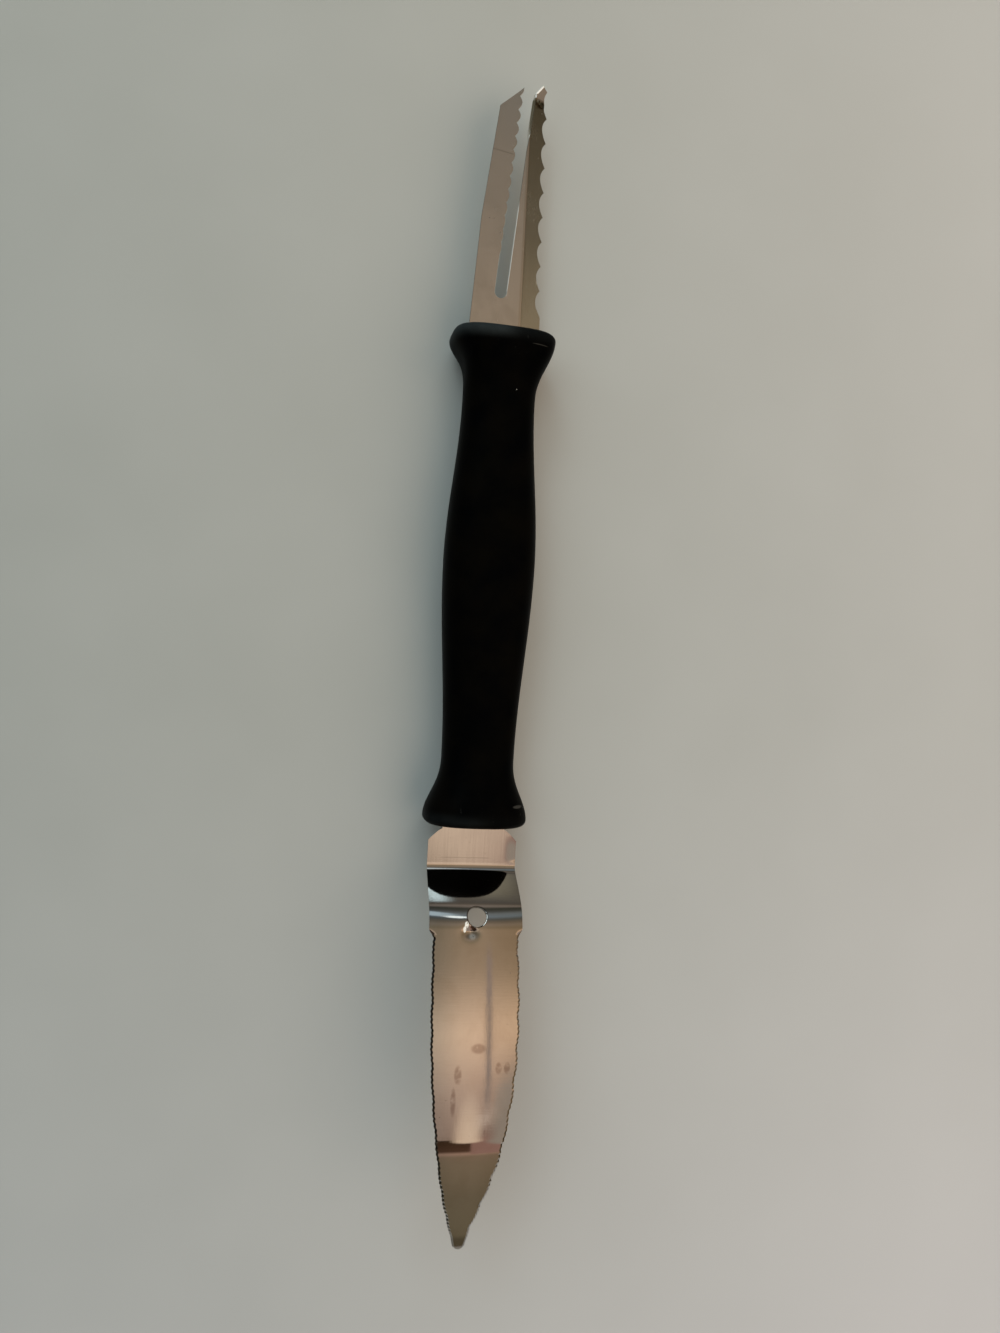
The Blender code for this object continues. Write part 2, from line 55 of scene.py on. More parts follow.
# %% Camera
CAMERA_PLACE = (-0.03979, -0.00191, 0.21300)
LEAN_TO_THE_SIDE = math.radians(-12.0)
TURN_IN_THE_FRAME = math.radians(3.413)

camera_data = bpy.data.cameras.new("photo_camera")
camera_data.lens = 27.0
camera_data.sensor_width = 36.0
camera_data.sensor_fit = 'AUTO'
camera_data.clip_start = 0.005
camera = bpy.data.objects.new("photo_camera", camera_data)
bpy.context.scene.collection.objects.link(camera)
camera.matrix_world = (Matrix.Translation(CAMERA_PLACE) @ Matrix.Rotation(LEAN_TO_THE_SIDE, 4, 'Y')
                       @ Matrix.Rotation(TURN_IN_THE_FRAME, 4, 'Z'))
bpy.context.scene.camera = camera
print("camera looks along", [round(v, 3) for v in camera.matrix_world.to_3x3() @ Vector((0, 0, -1))])

# %% [markdown]
# ## Two small helpers
# Every soft change of width or height on this knife is the same curve: it leaves one value flat and
# reaches the next one flat. Every finished mesh also gets the same end: outward faces, smooth
# shading with crisp edges where the surface really turns, and a ride on the knife's one body.

# %% Helpers for soft steps and for finishing a mesh
def ease(t):
    """Soft step from 0 to 1."""
    return (1 - math.cos(math.pi * min(max(t, 0.0), 1.0))) / 2


def finish_piece(name, mesh_builder, node, crisp=30.0):
    """Weld and close a bmesh, make it an object, and let it stand for its solid."""
    bmesh.ops.remove_doubles(mesh_builder, verts=mesh_builder.verts[:], dist=2e-7)
    bmesh.ops.dissolve_degenerate(mesh_builder, edges=mesh_builder.edges[:], dist=2e-7)
    shut_in = [face for face in mesh_builder.faces if all(len(edge.link_faces) > 2 for edge in face.edges)]
    bmesh.ops.delete(mesh_builder, geom=shut_in, context='FACES_ONLY')
    bmesh.ops.recalc_face_normals(mesh_builder, faces=mesh_builder.faces[:])
    open_edges = sum(1 for edge in mesh_builder.edges if not edge.is_manifold)
    mesh = bpy.data.meshes.new(name)
    mesh_builder.to_mesh(mesh)
    mesh_builder.free()
    mesh.shade_smooth()
    mesh.set_sharp_from_angle(angle=math.radians(crisp))
    piece = bpy.data.objects.new(name, mesh)
    bpy.context.scene.collection.objects.link(piece)
    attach(piece, "root")
    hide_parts(node)
    print(name, len(mesh.polygons), "faces,", open_edges, "open edges")
    return piece


# %% [markdown]
# ## The handle
# The real handle is one black moulding, oval along the grip and squarer where it flares out at both
# ends. It could be a lathe shape, but its section isn't round. So a plain tube of rings is drawn
# first, and each ring is then settled into its own oval. The first and last rings are turned inwards,
# where they line the two slots that hold the blades.

# %% Sizes of the handle
HALF_HANDLE = 0.1018 / 2
KNIFE_SHIFT = 0.015951
AXIS_HEIGHT = 0.0085
FLARE_WIDTH, WAIST_WIDTH, BELLY_WIDTH = 0.0214, 0.0150, 0.0190
FLARE_HEIGHT, WAIST_HEIGHT, BELLY_HEIGHT = 0.0178, 0.0126, 0.0154
FLARE_SETBACK, WAIST_SETBACK, BELLY_OFFSET = 0.0015, 0.0138, 0.0039
RIM_ROUNDING, RIM_ROUNDING_UPRIGHT = 0.0019, 0.0026
GRIP_POWER, FLARE_POWERS, SLOT_POWER = 2.4, (2.5, 3.4), 14.0
FLARE_ONSET, LEFT_FLARE_ONSET, LEFT_RIM_ROUNDING = 1.25, 2.3, 0.0012
FLARE_PLACE = HALF_HANDLE - FLARE_SETBACK
WAIST_PLACE = HALF_HANDLE - WAIST_SETBACK


def grip_half_size(y, flare, waist, belly, rounding, onset=FLARE_ONSET):
    """Half of the handle's width or height at y from its middle; a high onset flares late."""
    reach = abs(y)
    if reach > FLARE_PLACE:
        t = min((reach - FLARE_PLACE) / FLARE_SETBACK, 1.0)
        return flare / 2 - rounding * (1 - math.sqrt(1 - t * t))
    if reach > WAIST_PLACE:
        t = (reach - WAIST_PLACE) / (FLARE_PLACE - WAIST_PLACE)
        return (waist + (flare - waist) * ease(t ** onset)) / 2
    side = 1 if y > BELLY_OFFSET else -1
    t = side * (y - BELLY_OFFSET) / (WAIST_PLACE - side * BELLY_OFFSET)
    return (belly + (waist - belly) * ease(t)) / 2


print("half widths at flare, waist, belly:",
      [round(grip_half_size(y, FLARE_WIDTH, WAIST_WIDTH, BELLY_WIDTH, RIM_ROUNDING), 5)
       for y in (FLARE_PLACE, WAIST_PLACE, BELLY_OFFSET)])

# %% [markdown]
# The twin blade isn't flat: its right side is folded down. The slot in the handle's end follows that
# bend, so the fold is written here as one rule, which the blade uses again later.

# %% The fold of the twin blade, seen from its end
FORK_HALF_THICKNESS = 0.0004
FOLD_X, FOLD_RADIUS, FOLD_ANGLE = 0.0033, 0.0008, math.radians(37)
FOLD_FROM = FOLD_X - FOLD_RADIUS * math.tan(FOLD_ANGLE / 2)
FOLD_TO = FOLD_FROM + FOLD_RADIUS * math.sin(FOLD_ANGLE)


def fold_drop(x, fold=FOLD_ANGLE):
    """Height and slope angle of the twin blade's middle surface at x, for a fold of a given angle."""
    start = FOLD_X - FOLD_RADIUS * math.tan(fold / 2)
    end = start + FOLD_RADIUS * math.sin(fold)
    if x <= start:
        return 0.0, 0.0
    if x < end:
        angle = math.asin((x - start) / FOLD_RADIUS)
        return -FOLD_RADIUS * (1 - math.cos(angle)), angle
    return -FOLD_RADIUS * (1 - math.cos(fold)) - (x - end) * math.tan(fold), fold


print("the fold runs from", round(FOLD_FROM, 5), "to", round(FOLD_TO, 5))

# %% Rings of the handle, from the bottom of one slot to the bottom of the other
BLADE_SLOT_HALF, BLADE_TANG_HALF, SLOT_HALF_HEIGHT = 0.0065 + 0.0002, 0.0042 + 0.0002, 0.0004 + 0.0002
FORK_SLOT_LEFT, FORK_SLOT_RIGHT = -0.00755 - 0.0002, 0.0060 + 0.0002
TANG_DEPTH, ROOT_DEPTH, LIP = 0.0363, 0.0044, 0.00025
FORK_TANG_SHIFT = 0.0008
FORK_LEAN = math.radians(0.45)


def slot_ring(end, depth, left, right, widen=0.0):
    """A ring that lines a slot: its depth in the handle and how far it reaches to each side."""
    return ("slot", end, depth, (left + right) / 2, (right - left) / 2 + widen, SLOT_HALF_HEIGHT + widen)


def slot_rings(end):
    """Rings of one slot, from its bottom out to its softened mouth."""
    if end < 0:
        tang, root = (-BLADE_TANG_HALF, BLADE_TANG_HALF), (-BLADE_SLOT_HALF, BLADE_SLOT_HALF)
    else:
        tang = (-FORK_TANG_SHIFT - BLADE_TANG_HALF, -FORK_TANG_SHIFT + BLADE_TANG_HALF)
        root = (FORK_SLOT_LEFT, FORK_SLOT_RIGHT)
    return [slot_ring(end, TANG_DEPTH, *tang), slot_ring(end, ROOT_DEPTH, *tang),
            slot_ring(end, ROOT_DEPTH, *root), slot_ring(end, LIP, *root),
            slot_ring(end, LIP * 0.3, *root, LIP * 0.3), slot_ring(end, 0.0, *root, LIP)]


def grip_places():
    """Where the oval sections are taken: close at the rims, wider along the grip."""
    rim = [FLARE_PLACE + FLARE_SETBACK * math.sin(math.pi / 2 * k / 12) for k in range(13)]
    neck = [WAIST_PLACE + (FLARE_PLACE - WAIST_PLACE) * k / 20 for k in range(20)]
    grip = [WAIST_PLACE * (k / 30 - 1) for k in range(1, 60)]
    return [-y for y in reversed(neck + rim)] + grip + neck + rim


rings = slot_rings(-1) + [("oval", y) for y in grip_places()] + list(reversed(slot_rings(1)))
print(len(rings), "rings round the handle")

# %% Draw the tube and settle its rings
RING_POINTS = 112


def settle_ring_point(ring, angle):
    """Place of one point of a ring."""
    c, s = math.cos(angle), math.sin(angle)
    if ring[0] == "oval":
        y = ring[1]
        tighter = c < 0 < y
        rounding = LEFT_RIM_ROUNDING if tighter else RIM_ROUNDING
        onset = LEFT_FLARE_ONSET if tighter else FLARE_ONSET
        a = grip_half_size(y, FLARE_WIDTH, WAIST_WIDTH, BELLY_WIDTH, rounding, onset)
        b = grip_half_size(y, FLARE_HEIGHT, WAIST_HEIGHT, BELLY_HEIGHT, RIM_ROUNDING_UPRIGHT)
        flared = ease((abs(y) - WAIST_PLACE) / WAIST_SETBACK)
        power = GRIP_POWER + (FLARE_POWERS[y > 0] - GRIP_POWER) * flared
        return Vector((a * math.copysign(abs(c) ** (2 / power), c), y,
                       b * math.copysign(abs(s) ** (2 / power), s)))
    _, end, depth, middle, a, b = ring
    x = middle + a * math.copysign(abs(c) ** (2 / SLOT_POWER), c)
    z = b * math.copysign(abs(s) ** (2 / SLOT_POWER), s)
    place = Vector((x, -depth, z + (fold_drop(x)[0] if end > 0 else 0.0)))
    if end > 0:
        place = Matrix.Rotation(FORK_LEAN, 3, 'Z') @ place
    return Vector((place.x, end * HALF_HANDLE + (place.y if end > 0 else -place.y), place.z))


moulding = bmesh.new()
bmesh.ops.create_circle(moulding, cap_ends=False, segments=RING_POINTS, radius=1.0)
bmesh.ops.rotate(moulding, verts=moulding.verts[:], cent=(0, 0, 0),
                 matrix=Matrix.Rotation(math.radians(90), 3, 'X'))
bmesh.ops.rotate(moulding, verts=moulding.verts[:], cent=(0, 0, 0),
                 matrix=Matrix.Rotation(math.pi / RING_POINTS, 3, 'Y'))
front = moulding.edges[:]
for _ in rings[1:]:
    grown = bmesh.ops.extrude_edge_only(moulding, edges=front)["geom"]
    bmesh.ops.translate(moulding, vec=(0, 1, 0),
                        verts=[g for g in grown if isinstance(g, bmesh.types.BMVert)])
    front = [g for g in grown if isinstance(g, bmesh.types.BMEdge)]
for vert in moulding.verts:
    vert.co = settle_ring_point(rings[round(vert.co.y)], math.atan2(vert.co.z, vert.co.x))
bmesh.ops.holes_fill(moulding, edges=[e for e in moulding.edges if e.is_boundary], sides=0)
print("tube settled:", len(moulding.verts), "points")

# %% Cut the two flats that it lies on, and put it in its place
bmesh.ops.remove_doubles(moulding, verts=moulding.verts[:], dist=1e-7)
bmesh.ops.recalc_face_normals(moulding, faces=moulding.faces[:])
whole = moulding.verts[:] + moulding.edges[:] + moulding.faces[:]
cut = bmesh.ops.bisect_plane(moulding, geom=whole, dist=1e-7, plane_co=(0, 0, -AXIS_HEIGHT),
                             plane_no=(0, 0, -1), clear_outer=True)
flat_rims = [g for g in cut["geom_cut"] if isinstance(g, bmesh.types.BMEdge)]
bmesh.ops.edgenet_fill(moulding, edges=flat_rims)
bmesh.ops.translate(moulding, vec=(0, KNIFE_SHIFT, AXIS_HEIGHT), verts=moulding.verts[:])
handle = finish_piece("handle_moulding", moulding, "handle")

# %% [markdown]
# ## The curved blade
# The real blade is one strip of steel: a flat shank, a sharp fold up, a round bend with a hanging
# hole, a long slightly domed face, a crease, and a tip that curls down. Both edges of the face are
# waved and toothed. Bending is a rule about distance along the strip, so the strip is cut out flat,
# as it is in the factory, and then bent.

# %% Side profile of the curved blade
BLADE_HALF_THICKNESS = 0.0004
SHANK_LENGTH, SHANK_FOLD_RADIUS, RISER_LENGTH = 0.0083, 0.0026, 0.0074
BEND_RADIUS, FACE_LENGTH, CREASE_RADIUS, TIP_LENGTH = 0.0082, 0.0394, 0.0135, 0.0227
RISER_ANGLE, FACE_ANGLE, DIP_ANGLE, TIP_ANGLE = (math.radians(a) for a in (45, 10, 8, 31))
BLADE_STEPS = [(SHANK_LENGTH, 0.0), (SHANK_FOLD_RADIUS * RISER_ANGLE, RISER_ANGLE), (RISER_LENGTH, 0.0),
               (BEND_RADIUS * (RISER_ANGLE - FACE_ANGLE), FACE_ANGLE - RISER_ANGLE), (FACE_LENGTH, 0.0),
               (CREASE_RADIUS * (FACE_ANGLE + DIP_ANGLE), -FACE_ANGLE - DIP_ANGLE),
               (TIP_LENGTH, DIP_ANGLE - TIP_ANGLE)]
marks = [sum(length for length, _ in BLADE_STEPS[:k + 1]) for k in range(len(BLADE_STEPS))]
FOLD_START, RISER_START, BEND_START, FACE_START, CREASE_START, _, BLADE_END = marks


def blade_profile(s):
    """Distance out, height and slope of the strip's middle at a distance s along it."""
    out, up, slope = min(s, 0.0), 0.0, 0.0
    left = s
    for length, turn in BLADE_STEPS:
        run = min(max(left, 0.0), length)
        if turn:
            rate = turn / length
            out += (math.sin(slope + rate * run) - math.sin(slope)) / rate
            up += (math.cos(slope) - math.cos(slope + rate * run)) / rate
            slope += rate * run
        else:
            out += run * math.cos(slope)
            up += run * math.sin(slope)
        left -= length
    return out, up, slope


print("the strip is", round(BLADE_END * 1000, 1), "mm long and ends",
      round(blade_profile(BLADE_END)[0] * 1000, 1), "mm out")

# %% Outline of the flat strip
ROOT_WIDTH, TANG_WIDTH, NECK_LENGTH, SHOULDER_LENGTH = 0.0130, 0.0084, 0.0010, 0.0024
SHANK_WIDTH, BEND_WIDTH, TIP_WIDTH = 0.0186, 0.0190, 0.0023
EDGE_STEP, BLADE_SHIFT, TIP_SHIFT = 0.0007, 0.0002, 0.0005
EDGE_START = FACE_START + 2 * EDGE_STEP
WAVE_PITCH, WAVE_DEPTHS, TOOTH_DEPTH = 0.0061, (0.00018, 0.00032), 0.00017
TOOTH_PITCH = WAVE_PITCH / 6
BLADE_ROOT_DEPTH = 0.0040


def plain_edge(s, side):
    """x of the left (-1) or right (1) edge before the teeth are cut."""
    if s < -BLADE_ROOT_DEPTH:
        return side * TANG_WIDTH / 2
    if s < NECK_LENGTH:
        return side * ROOT_WIDTH / 2
    if s < NECK_LENGTH + SHOULDER_LENGTH:
        widened = ((s - NECK_LENGTH) / SHOULDER_LENGTH) ** 0.8
        return side * (ROOT_WIDTH + (SHANK_WIDTH - ROOT_WIDTH) * widened) / 2
    raised = ease((s - FOLD_START) / (BEND_START - FOLD_START))
    half = (SHANK_WIDTH + (BEND_WIDTH - SHANK_WIDTH) * raised) / 2
    step = EDGE_STEP * ease((s - FACE_START) / (EDGE_START - FACE_START))
    f = min(max((s - EDGE_START) / (BLADE_END - EDGE_START), 0.0), 1.0)
    keep = (1 - f ** 3.2) ** 1.2 if side < 0 else (1 - f ** 3.8) ** 2.2
    if side > 0:
        half += 0.0007 * math.sin(math.pi * min(f / 0.62, 1.0))
    return (keep * (BLADE_SHIFT * raised + side * (half - step))
            + (1 - keep) * (TIP_SHIFT + side * TIP_WIDTH / 2))


def tooth(s, phase):
    """How deep the cut is at s: 0 on a tooth's point, 1 in the gap between two."""
    return 1 - abs((2 * (s - EDGE_START) / TOOTH_PITCH + phase) % 2 - 1)


def wave(s, phase):
    """The long wave that carries the teeth."""
    return 1 - abs(math.sin(math.pi * ((s - EDGE_START) / WAVE_PITCH + phase)))


def blade_edge(s, side):
    """x of the finished edge, with waves, teeth and the rounded end of the tip."""
    x = plain_edge(s, side)
    if s > EDGE_START:
        fade = min((BLADE_END - s) / WAVE_PITCH, 1.0)
        depth, phase = (WAVE_DEPTHS[0], 0.0) if side < 0 else (WAVE_DEPTHS[1], 0.5)
        x -= side * fade * (depth * wave(s, phase) + TOOTH_DEPTH * tooth(s, 0.0))
    nose = s - (BLADE_END - TIP_WIDTH / 2)
    if nose > 0:
        half_tip = TIP_WIDTH / 2
        x -= side * (half_tip - math.sqrt(max(half_tip ** 2 - nose ** 2, 0.0001 ** 2)))
    return x


print("widths at shank, bend, middle of the face and crease:",
      [round(blade_edge(s, 1) - blade_edge(s, -1), 5)
       for s in (0.007, BEND_START, FACE_START + 0.02, CREASE_START)])

# %% [markdown]
# A grid is the quickest flat blank: its columns run along the strip and its rows across it. Rows are
# set close where the teeth are and wide where nothing happens. The hole is cut by making the squares
# near it smaller, taking out those inside the circle and drawing the rim onto it.

# %% Cut out the flat blank
GRIND_WIDTH = 0.0004
COLUMNS = 30


def blade_rows():
    """Distances along the strip at which the blank has a row."""
    rows = [-0.036, -0.018, -0.0043, -BLADE_ROOT_DEPTH, -0.002, 0.0]
    shoulder_end = NECK_LENGTH + SHOULDER_LENGTH
    rows += [NECK_LENGTH + SHOULDER_LENGTH * (k / 8) ** 2 for k in range(9)]
    for start, end, steps in ((shoulder_end, FOLD_START, 14), (FOLD_START, RISER_START, 8),
                              (RISER_START, BEND_START, 16), (BEND_START, FACE_START, 20),
                              (FACE_START, EDGE_START, 6)):
        rows += [start + (end - start) * (k + 1) / steps for k in range(steps)]
    fine = TOOTH_PITCH / 6
    rows += [EDGE_START + fine * (k + 1) for k in range(int((BLADE_END - TIP_WIDTH / 2 - EDGE_START) / fine))]
    rows += [BLADE_END - TIP_WIDTH / 2 * (1 - math.sin(math.pi / 2 * k / 8)) for k in range(9)]
    return [s for s, after in zip(rows, rows[1:] + [1.0]) if after - s > 1e-6]


def blank_x(s, column):
    """x of a column of the blank: the outer columns keep to the ground edges."""
    left, right = plain_edge(s, -1), plain_edge(s, 1)
    grind = min(GRIND_WIDTH, (right - left) / 5)
    if column in (0, COLUMNS):
        return blade_edge(s, -1 if column == 0 else 1)
    if column in (1, 2, COLUMNS - 2, COLUMNS - 1):
        side = -1 if column < 3 else 1
        return blade_edge(s, side) - side * grind * (0.5 if column in (1, COLUMNS - 1) else 1.0)
    return left + grind + (right - left - 2 * grind) * (column - 2) / (COLUMNS - 4)


def gap_shade_amount(s, column):
    """How much painted shade darkens the ground edge at a point: most in the gaps, and on the right only near
    the tip.
    """
    if s < EDGE_START or column not in (0, 1, COLUMNS - 1, COLUMNS):
        return 0.0
    amount = 0.40 + 0.60 * tooth(s, 0.0)
    return amount if column < 2 else amount * (0.15 + 0.85 * ease((s - CREASE_START + 0.004) / 0.004))


rows = blade_rows()
blank = bmesh.new()
tooth_gap_shade = blank.verts.layers.float.new("tooth_gap_shade")
bmesh.ops.create_grid(blank, x_segments=COLUMNS, y_segments=len(rows) - 1, size=1.0)
for vert in blank.verts:
    column, row = round((vert.co.x + 1) / 2 * COLUMNS), round((vert.co.y + 1) / 2 * (len(rows) - 1))
    vert.co = (blank_x(rows[row], column), rows[row], 0)
    vert[tooth_gap_shade] = gap_shade_amount(rows[row], column)
print("blank:", len(blank.faces), "squares in", len(rows), "rows")

# %% Punch the hanging hole
HOLE_RADIUS = 0.0019
HOLE_PLACE = Vector((0.00035, BEND_START + 0.0027, 0.0))
near = [e for e in blank.edges if all((v.co - HOLE_PLACE).length < HOLE_RADIUS + 0.0011 for v in e.verts)]
bmesh.ops.subdivide_edges(blank, edges=near, cuts=3, use_grid_fill=True)
inside = [f for f in blank.faces if (f.calc_center_median() - HOLE_PLACE).length < HOLE_RADIUS]
bmesh.ops.delete(blank, geom=inside, context='FACES')
rim = {v for e in blank.edges if e.is_boundary for v in e.verts
       if (v.co - HOLE_PLACE).length < HOLE_RADIUS + 0.001}
for vert in rim:
    vert.co = HOLE_PLACE + (vert.co - HOLE_PLACE).normalized() * HOLE_RADIUS
print("hole rim:", len(rim), "points")

# %% [markdown]
# The steel sheet is 0.8 mm thick, and ground thin along both edges of the face. Every point of the
# blank is lifted off the middle surface, bent along the profile and domed a little. Two small flaws of
# the real blade are kept: the right end of the shank is rolled down a touch, and the punch has left a
# dent just past the hole.

# %% Bend the blade and give it its thickness
GROUND_HALF = 0.00016
BLADE_CROWN = 0.00045
DENT_PLACE, DENT_RADIUS, DENT_DEPTH = (-0.0010, HOLE_PLACE.y + 0.0029), 0.0011, 0.00045
ROLL_FROM, ROLL_ANGLE = 0.0074, math.radians(4)


def sheet_half(s, x):
    """Half of the sheet's thickness: thinner on the ground edges, with a notch at each tooth gap."""
    ground = min(max((s - FACE_START) / (EDGE_START - FACE_START), 0.0), 1.0)
    side = -1 if x < (plain_edge(s, -1) + plain_edge(s, 1)) / 2 else 1
    inward = side * (blade_edge(s, side) - x)
    width = min(GRIND_WIDTH, (plain_edge(s, 1) - plain_edge(s, -1)) / 5)
    thin = ground * (1 - min(max(inward / width, 0.0), 1.0))
    return BLADE_HALF_THICKNESS + (GROUND_HALF - BLADE_HALF_THICKNESS) * thin


def bend_point(x, s, face):
    """World place of a point of the blank on the upper (1) or lower (-1) face."""
    out, up, slope = blade_profile(s)
    left, right = plain_edge(s, -1), plain_edge(s, 1)
    middle = (left + right) / 2
    half = (right - left) / 2 + EDGE_STEP * ease((s - FACE_START) / (EDGE_START - FACE_START))
    raised = 0.5 * ease((s - FOLD_START) / (BEND_START - FOLD_START))
    raised += 0.5 * ease((s - BEND_START) / (FACE_START - BEND_START))
    lift = face * sheet_half(s, x)
    lift += raised * BLADE_CROWN * (1 - ((x - middle) / half) ** 2) * (2 * half / BEND_WIDTH) ** 2
    far = math.hypot(x - DENT_PLACE[0], s - DENT_PLACE[1]) / DENT_RADIUS
    lift -= DENT_DEPTH * math.exp(-far * far)
    on_shank = 1 - ease((s - FOLD_START + 0.0012) / 0.0012)
    lift -= on_shank * max(x - ROLL_FROM, 0.0) * math.tan(ROLL_ANGLE) * ease((s - 0.002) / 0.003)
    y = -HALF_HANDLE + KNIFE_SHIFT - out + lift * math.sin(slope)
    return Vector((x, y, AXIS_HEIGHT + up + lift * math.cos(slope)))


def two_faces(blank, place):
    """Copy a flat blank, put one copy on each face of the sheet and join their rims."""
    copy = bmesh.ops.duplicate(blank, geom=blank.verts[:] + blank.edges[:] + blank.faces[:])
    lower = [g for g in copy["geom"] if isinstance(g, bmesh.types.BMVert)]
    lower_set = set(lower)
    rims = [e for e in blank.edges if e.is_boundary]
    for vert in blank.verts:
        vert.co = place(vert.co.x, vert.co.y, -1 if vert in lower_set else 1)
    return rims, lower_set


def soften_rims(builder, rims, offset, segments=1):
    """Bevel the cut edges, so that they catch a thin line of light as real cut steel does."""
    bmesh.ops.recalc_face_normals(builder, faces=builder.faces[:])
    bmesh.ops.bevel(builder, geom=rims, offset=offset, offset_type='OFFSET', affect='EDGES',
                    segments=segments, profile=0.5, material=-1)


def loops_of(edges):
    """Sort edges into the closed loops that they form."""
    left, loops = set(edges), []
    while left:
        loop, front = set(), {left.pop()}
        while front:
            loop |= front
            front = {e for f in front for v in f.verts for e in v.link_edges if e in left}
            left -= front
        loops.append(list(loop))
    return loops


rims, _ = two_faces(blank, bend_point)
loops = sorted(loops_of(rims), key=len)
bmesh.ops.bridge_loops(blank, edges=loops[0] + loops[1])
bmesh.ops.bridge_loops(blank, edges=loops[2] + loops[3])
soften_rims(blank, loops[0] + loops[1], 0.00018, 2)
print("rims joined:", [len(loop) for loop in loops])
curved_blade = finish_piece("curved_blade_sheet", blank, "curved_blade", 25.0)

# %% [markdown]
# ## The twin blade
# The real twin blade is one thinner-looking sheet with a long slot. The left tine is flat, with small
# round bumps along the slot. The right tine is folded down along its length, and its lower edge has
# nine big pointed teeth. Two grids that share a seam give this outline without a single hand-made
# face: one is the left tine and one is the right.

# %% Outline of the two tines
FORK_LEFT, LEFT_KNEE = -0.0073, 0.0243
ROOT_TAPER, TINE_TAPER = math.tan(math.radians(3.6)), math.tan(math.radians(6.8))
SLOT_MIDDLE, SLOT_HALF, SLOT_START = -0.0009, 0.00125, 0.0077
SLOT_TAPER_LEFT, SLOT_TAPER_RIGHT = math.tan(math.radians(4.45)), math.tan(math.radians(5.05))
LEFT_LENGTH, RIGHT_LENGTH, RIGHT_CORNER, RIGHT_PEAK = 0.0519, 0.0536, 0.0514, 0.0060
LEFT_END_SLOPE = math.tan(math.radians(41.6))
BUMP_PITCH, BUMP_COUNT, BUMP_HEIGHT, BUMP_START = 0.0028, 13, 0.0007, 0.00045
FLANGE_EDGE, FLANGE_TAPER = FOLD_X + 0.0061 * math.cos(FOLD_ANGLE), math.tan(math.radians(0.78))
BIG_TOOTH_PITCH, BIG_TOOTH_DEPTH, BIG_TEETH, LAST_TOOTH = 0.0052, 0.0011, 9, 0.0531
LAST_CORNER = LAST_TOOTH - BIG_TOOTH_PITCH / 10
SLOT_LOW = SLOT_START + SLOT_HALF
SLOT_CURVE, SLOT_CURVE_FROM = 1.4, 0.036
CUT_CORNER = SLOT_MIDDLE + SLOT_HALF + SLOT_TAPER_RIGHT * (RIGHT_CORNER - SLOT_LOW)
CUT_CORNER += SLOT_CURVE * (RIGHT_CORNER - SLOT_CURVE_FROM) ** 2


def left_tine_edges(y):
    """Left and right x of the left half at y."""
    left = FORK_LEFT + ROOT_TAPER * min(y, LEFT_KNEE) + TINE_TAPER * max(y - LEFT_KNEE, 0.0)
    right = SLOT_MIDDLE
    if y < -BLADE_ROOT_DEPTH:
        left = -FORK_TANG_SHIFT - TANG_WIDTH / 2
    if y > SLOT_START:
        right = SLOT_MIDDLE - math.sqrt(max(SLOT_HALF ** 2 - max(SLOT_LOW - y, 0.0) ** 2, 0.0))
    if y > SLOT_LOW:
        right += SLOT_TAPER_LEFT * (y - SLOT_LOW)
    behind = (LEFT_LENGTH - BUMP_START - y) / BUMP_PITCH
    if behind < BUMP_COUNT:
        height = BUMP_HEIGHT * min(1.25 - behind / BUMP_COUNT, 1.0) * min(BUMP_COUNT - behind, 1.0)
        right += height * (abs(math.cos(math.pi * behind)) if behind > 0 else 1)
    if y > SLOT_LOW:
        peak = SLOT_MIDDLE - SLOT_HALF + SLOT_TAPER_LEFT * (LEFT_LENGTH - SLOT_LOW) + BUMP_HEIGHT
        left = max(left, peak - (LEFT_LENGTH - y) / LEFT_END_SLOPE)
        right = min(right, peak) if y > LEFT_LENGTH - BUMP_START else right
    return left, max(left, right)


def right_tine_edges(y):
    """Left and right x of the right half at y."""
    left, right = SLOT_MIDDLE, 0.0060
    if y < -BLADE_ROOT_DEPTH:
        right = -FORK_TANG_SHIFT + TANG_WIDTH / 2
    if y > SLOT_START:
        left = SLOT_MIDDLE + math.sqrt(max(SLOT_HALF ** 2 - max(SLOT_LOW - y, 0.0) ** 2, 0.0))
    if y > SLOT_LOW:
        left += SLOT_TAPER_RIGHT * (y - SLOT_LOW) + SLOT_CURVE * max(y - SLOT_CURVE_FROM, 0.0) ** 2
    if y > RIGHT_CORNER:
        left = CUT_CORNER + (RIGHT_PEAK - CUT_CORNER) * (y - RIGHT_CORNER) / (RIGHT_LENGTH - RIGHT_CORNER)
    first = LAST_TOOTH - BIG_TEETH * BIG_TOOTH_PITCH
    edge = FLANGE_EDGE - FLANGE_TAPER * y
    if y > 0.0004:
        right = edge + (0.0003 if y < first else 0.0)
    if first < y < LAST_TOOTH:
        part = (y - first) / BIG_TOOTH_PITCH % 1.0
        right = edge - BIG_TOOTH_DEPTH * 4 * part * (1 - part)
    if y > LAST_CORNER:
        corner = FLANGE_EDGE - FLANGE_TAPER * LAST_CORNER - 0.36 * BIG_TOOTH_DEPTH
        right = corner + (RIGHT_PEAK - corner) * (y - LAST_CORNER) / (RIGHT_LENGTH - LAST_CORNER)
    return left, max(left, right)


print("tine widths half way up:",
      [round(b - a, 5) for a, b in (left_tine_edges(0.03), right_tine_edges(0.03))])

# %% Cut out the two tines as one blank
SEAM = [-0.036, -0.018, -0.0043, -0.0040, -0.002, 0.0, 0.0003, 0.00042, 0.002, 0.004, 0.006, SLOT_START]
SLOT_END = [SLOT_LOW - SLOT_HALF * math.cos(math.pi / 2 * k / 12) for k in range(1, 13)]


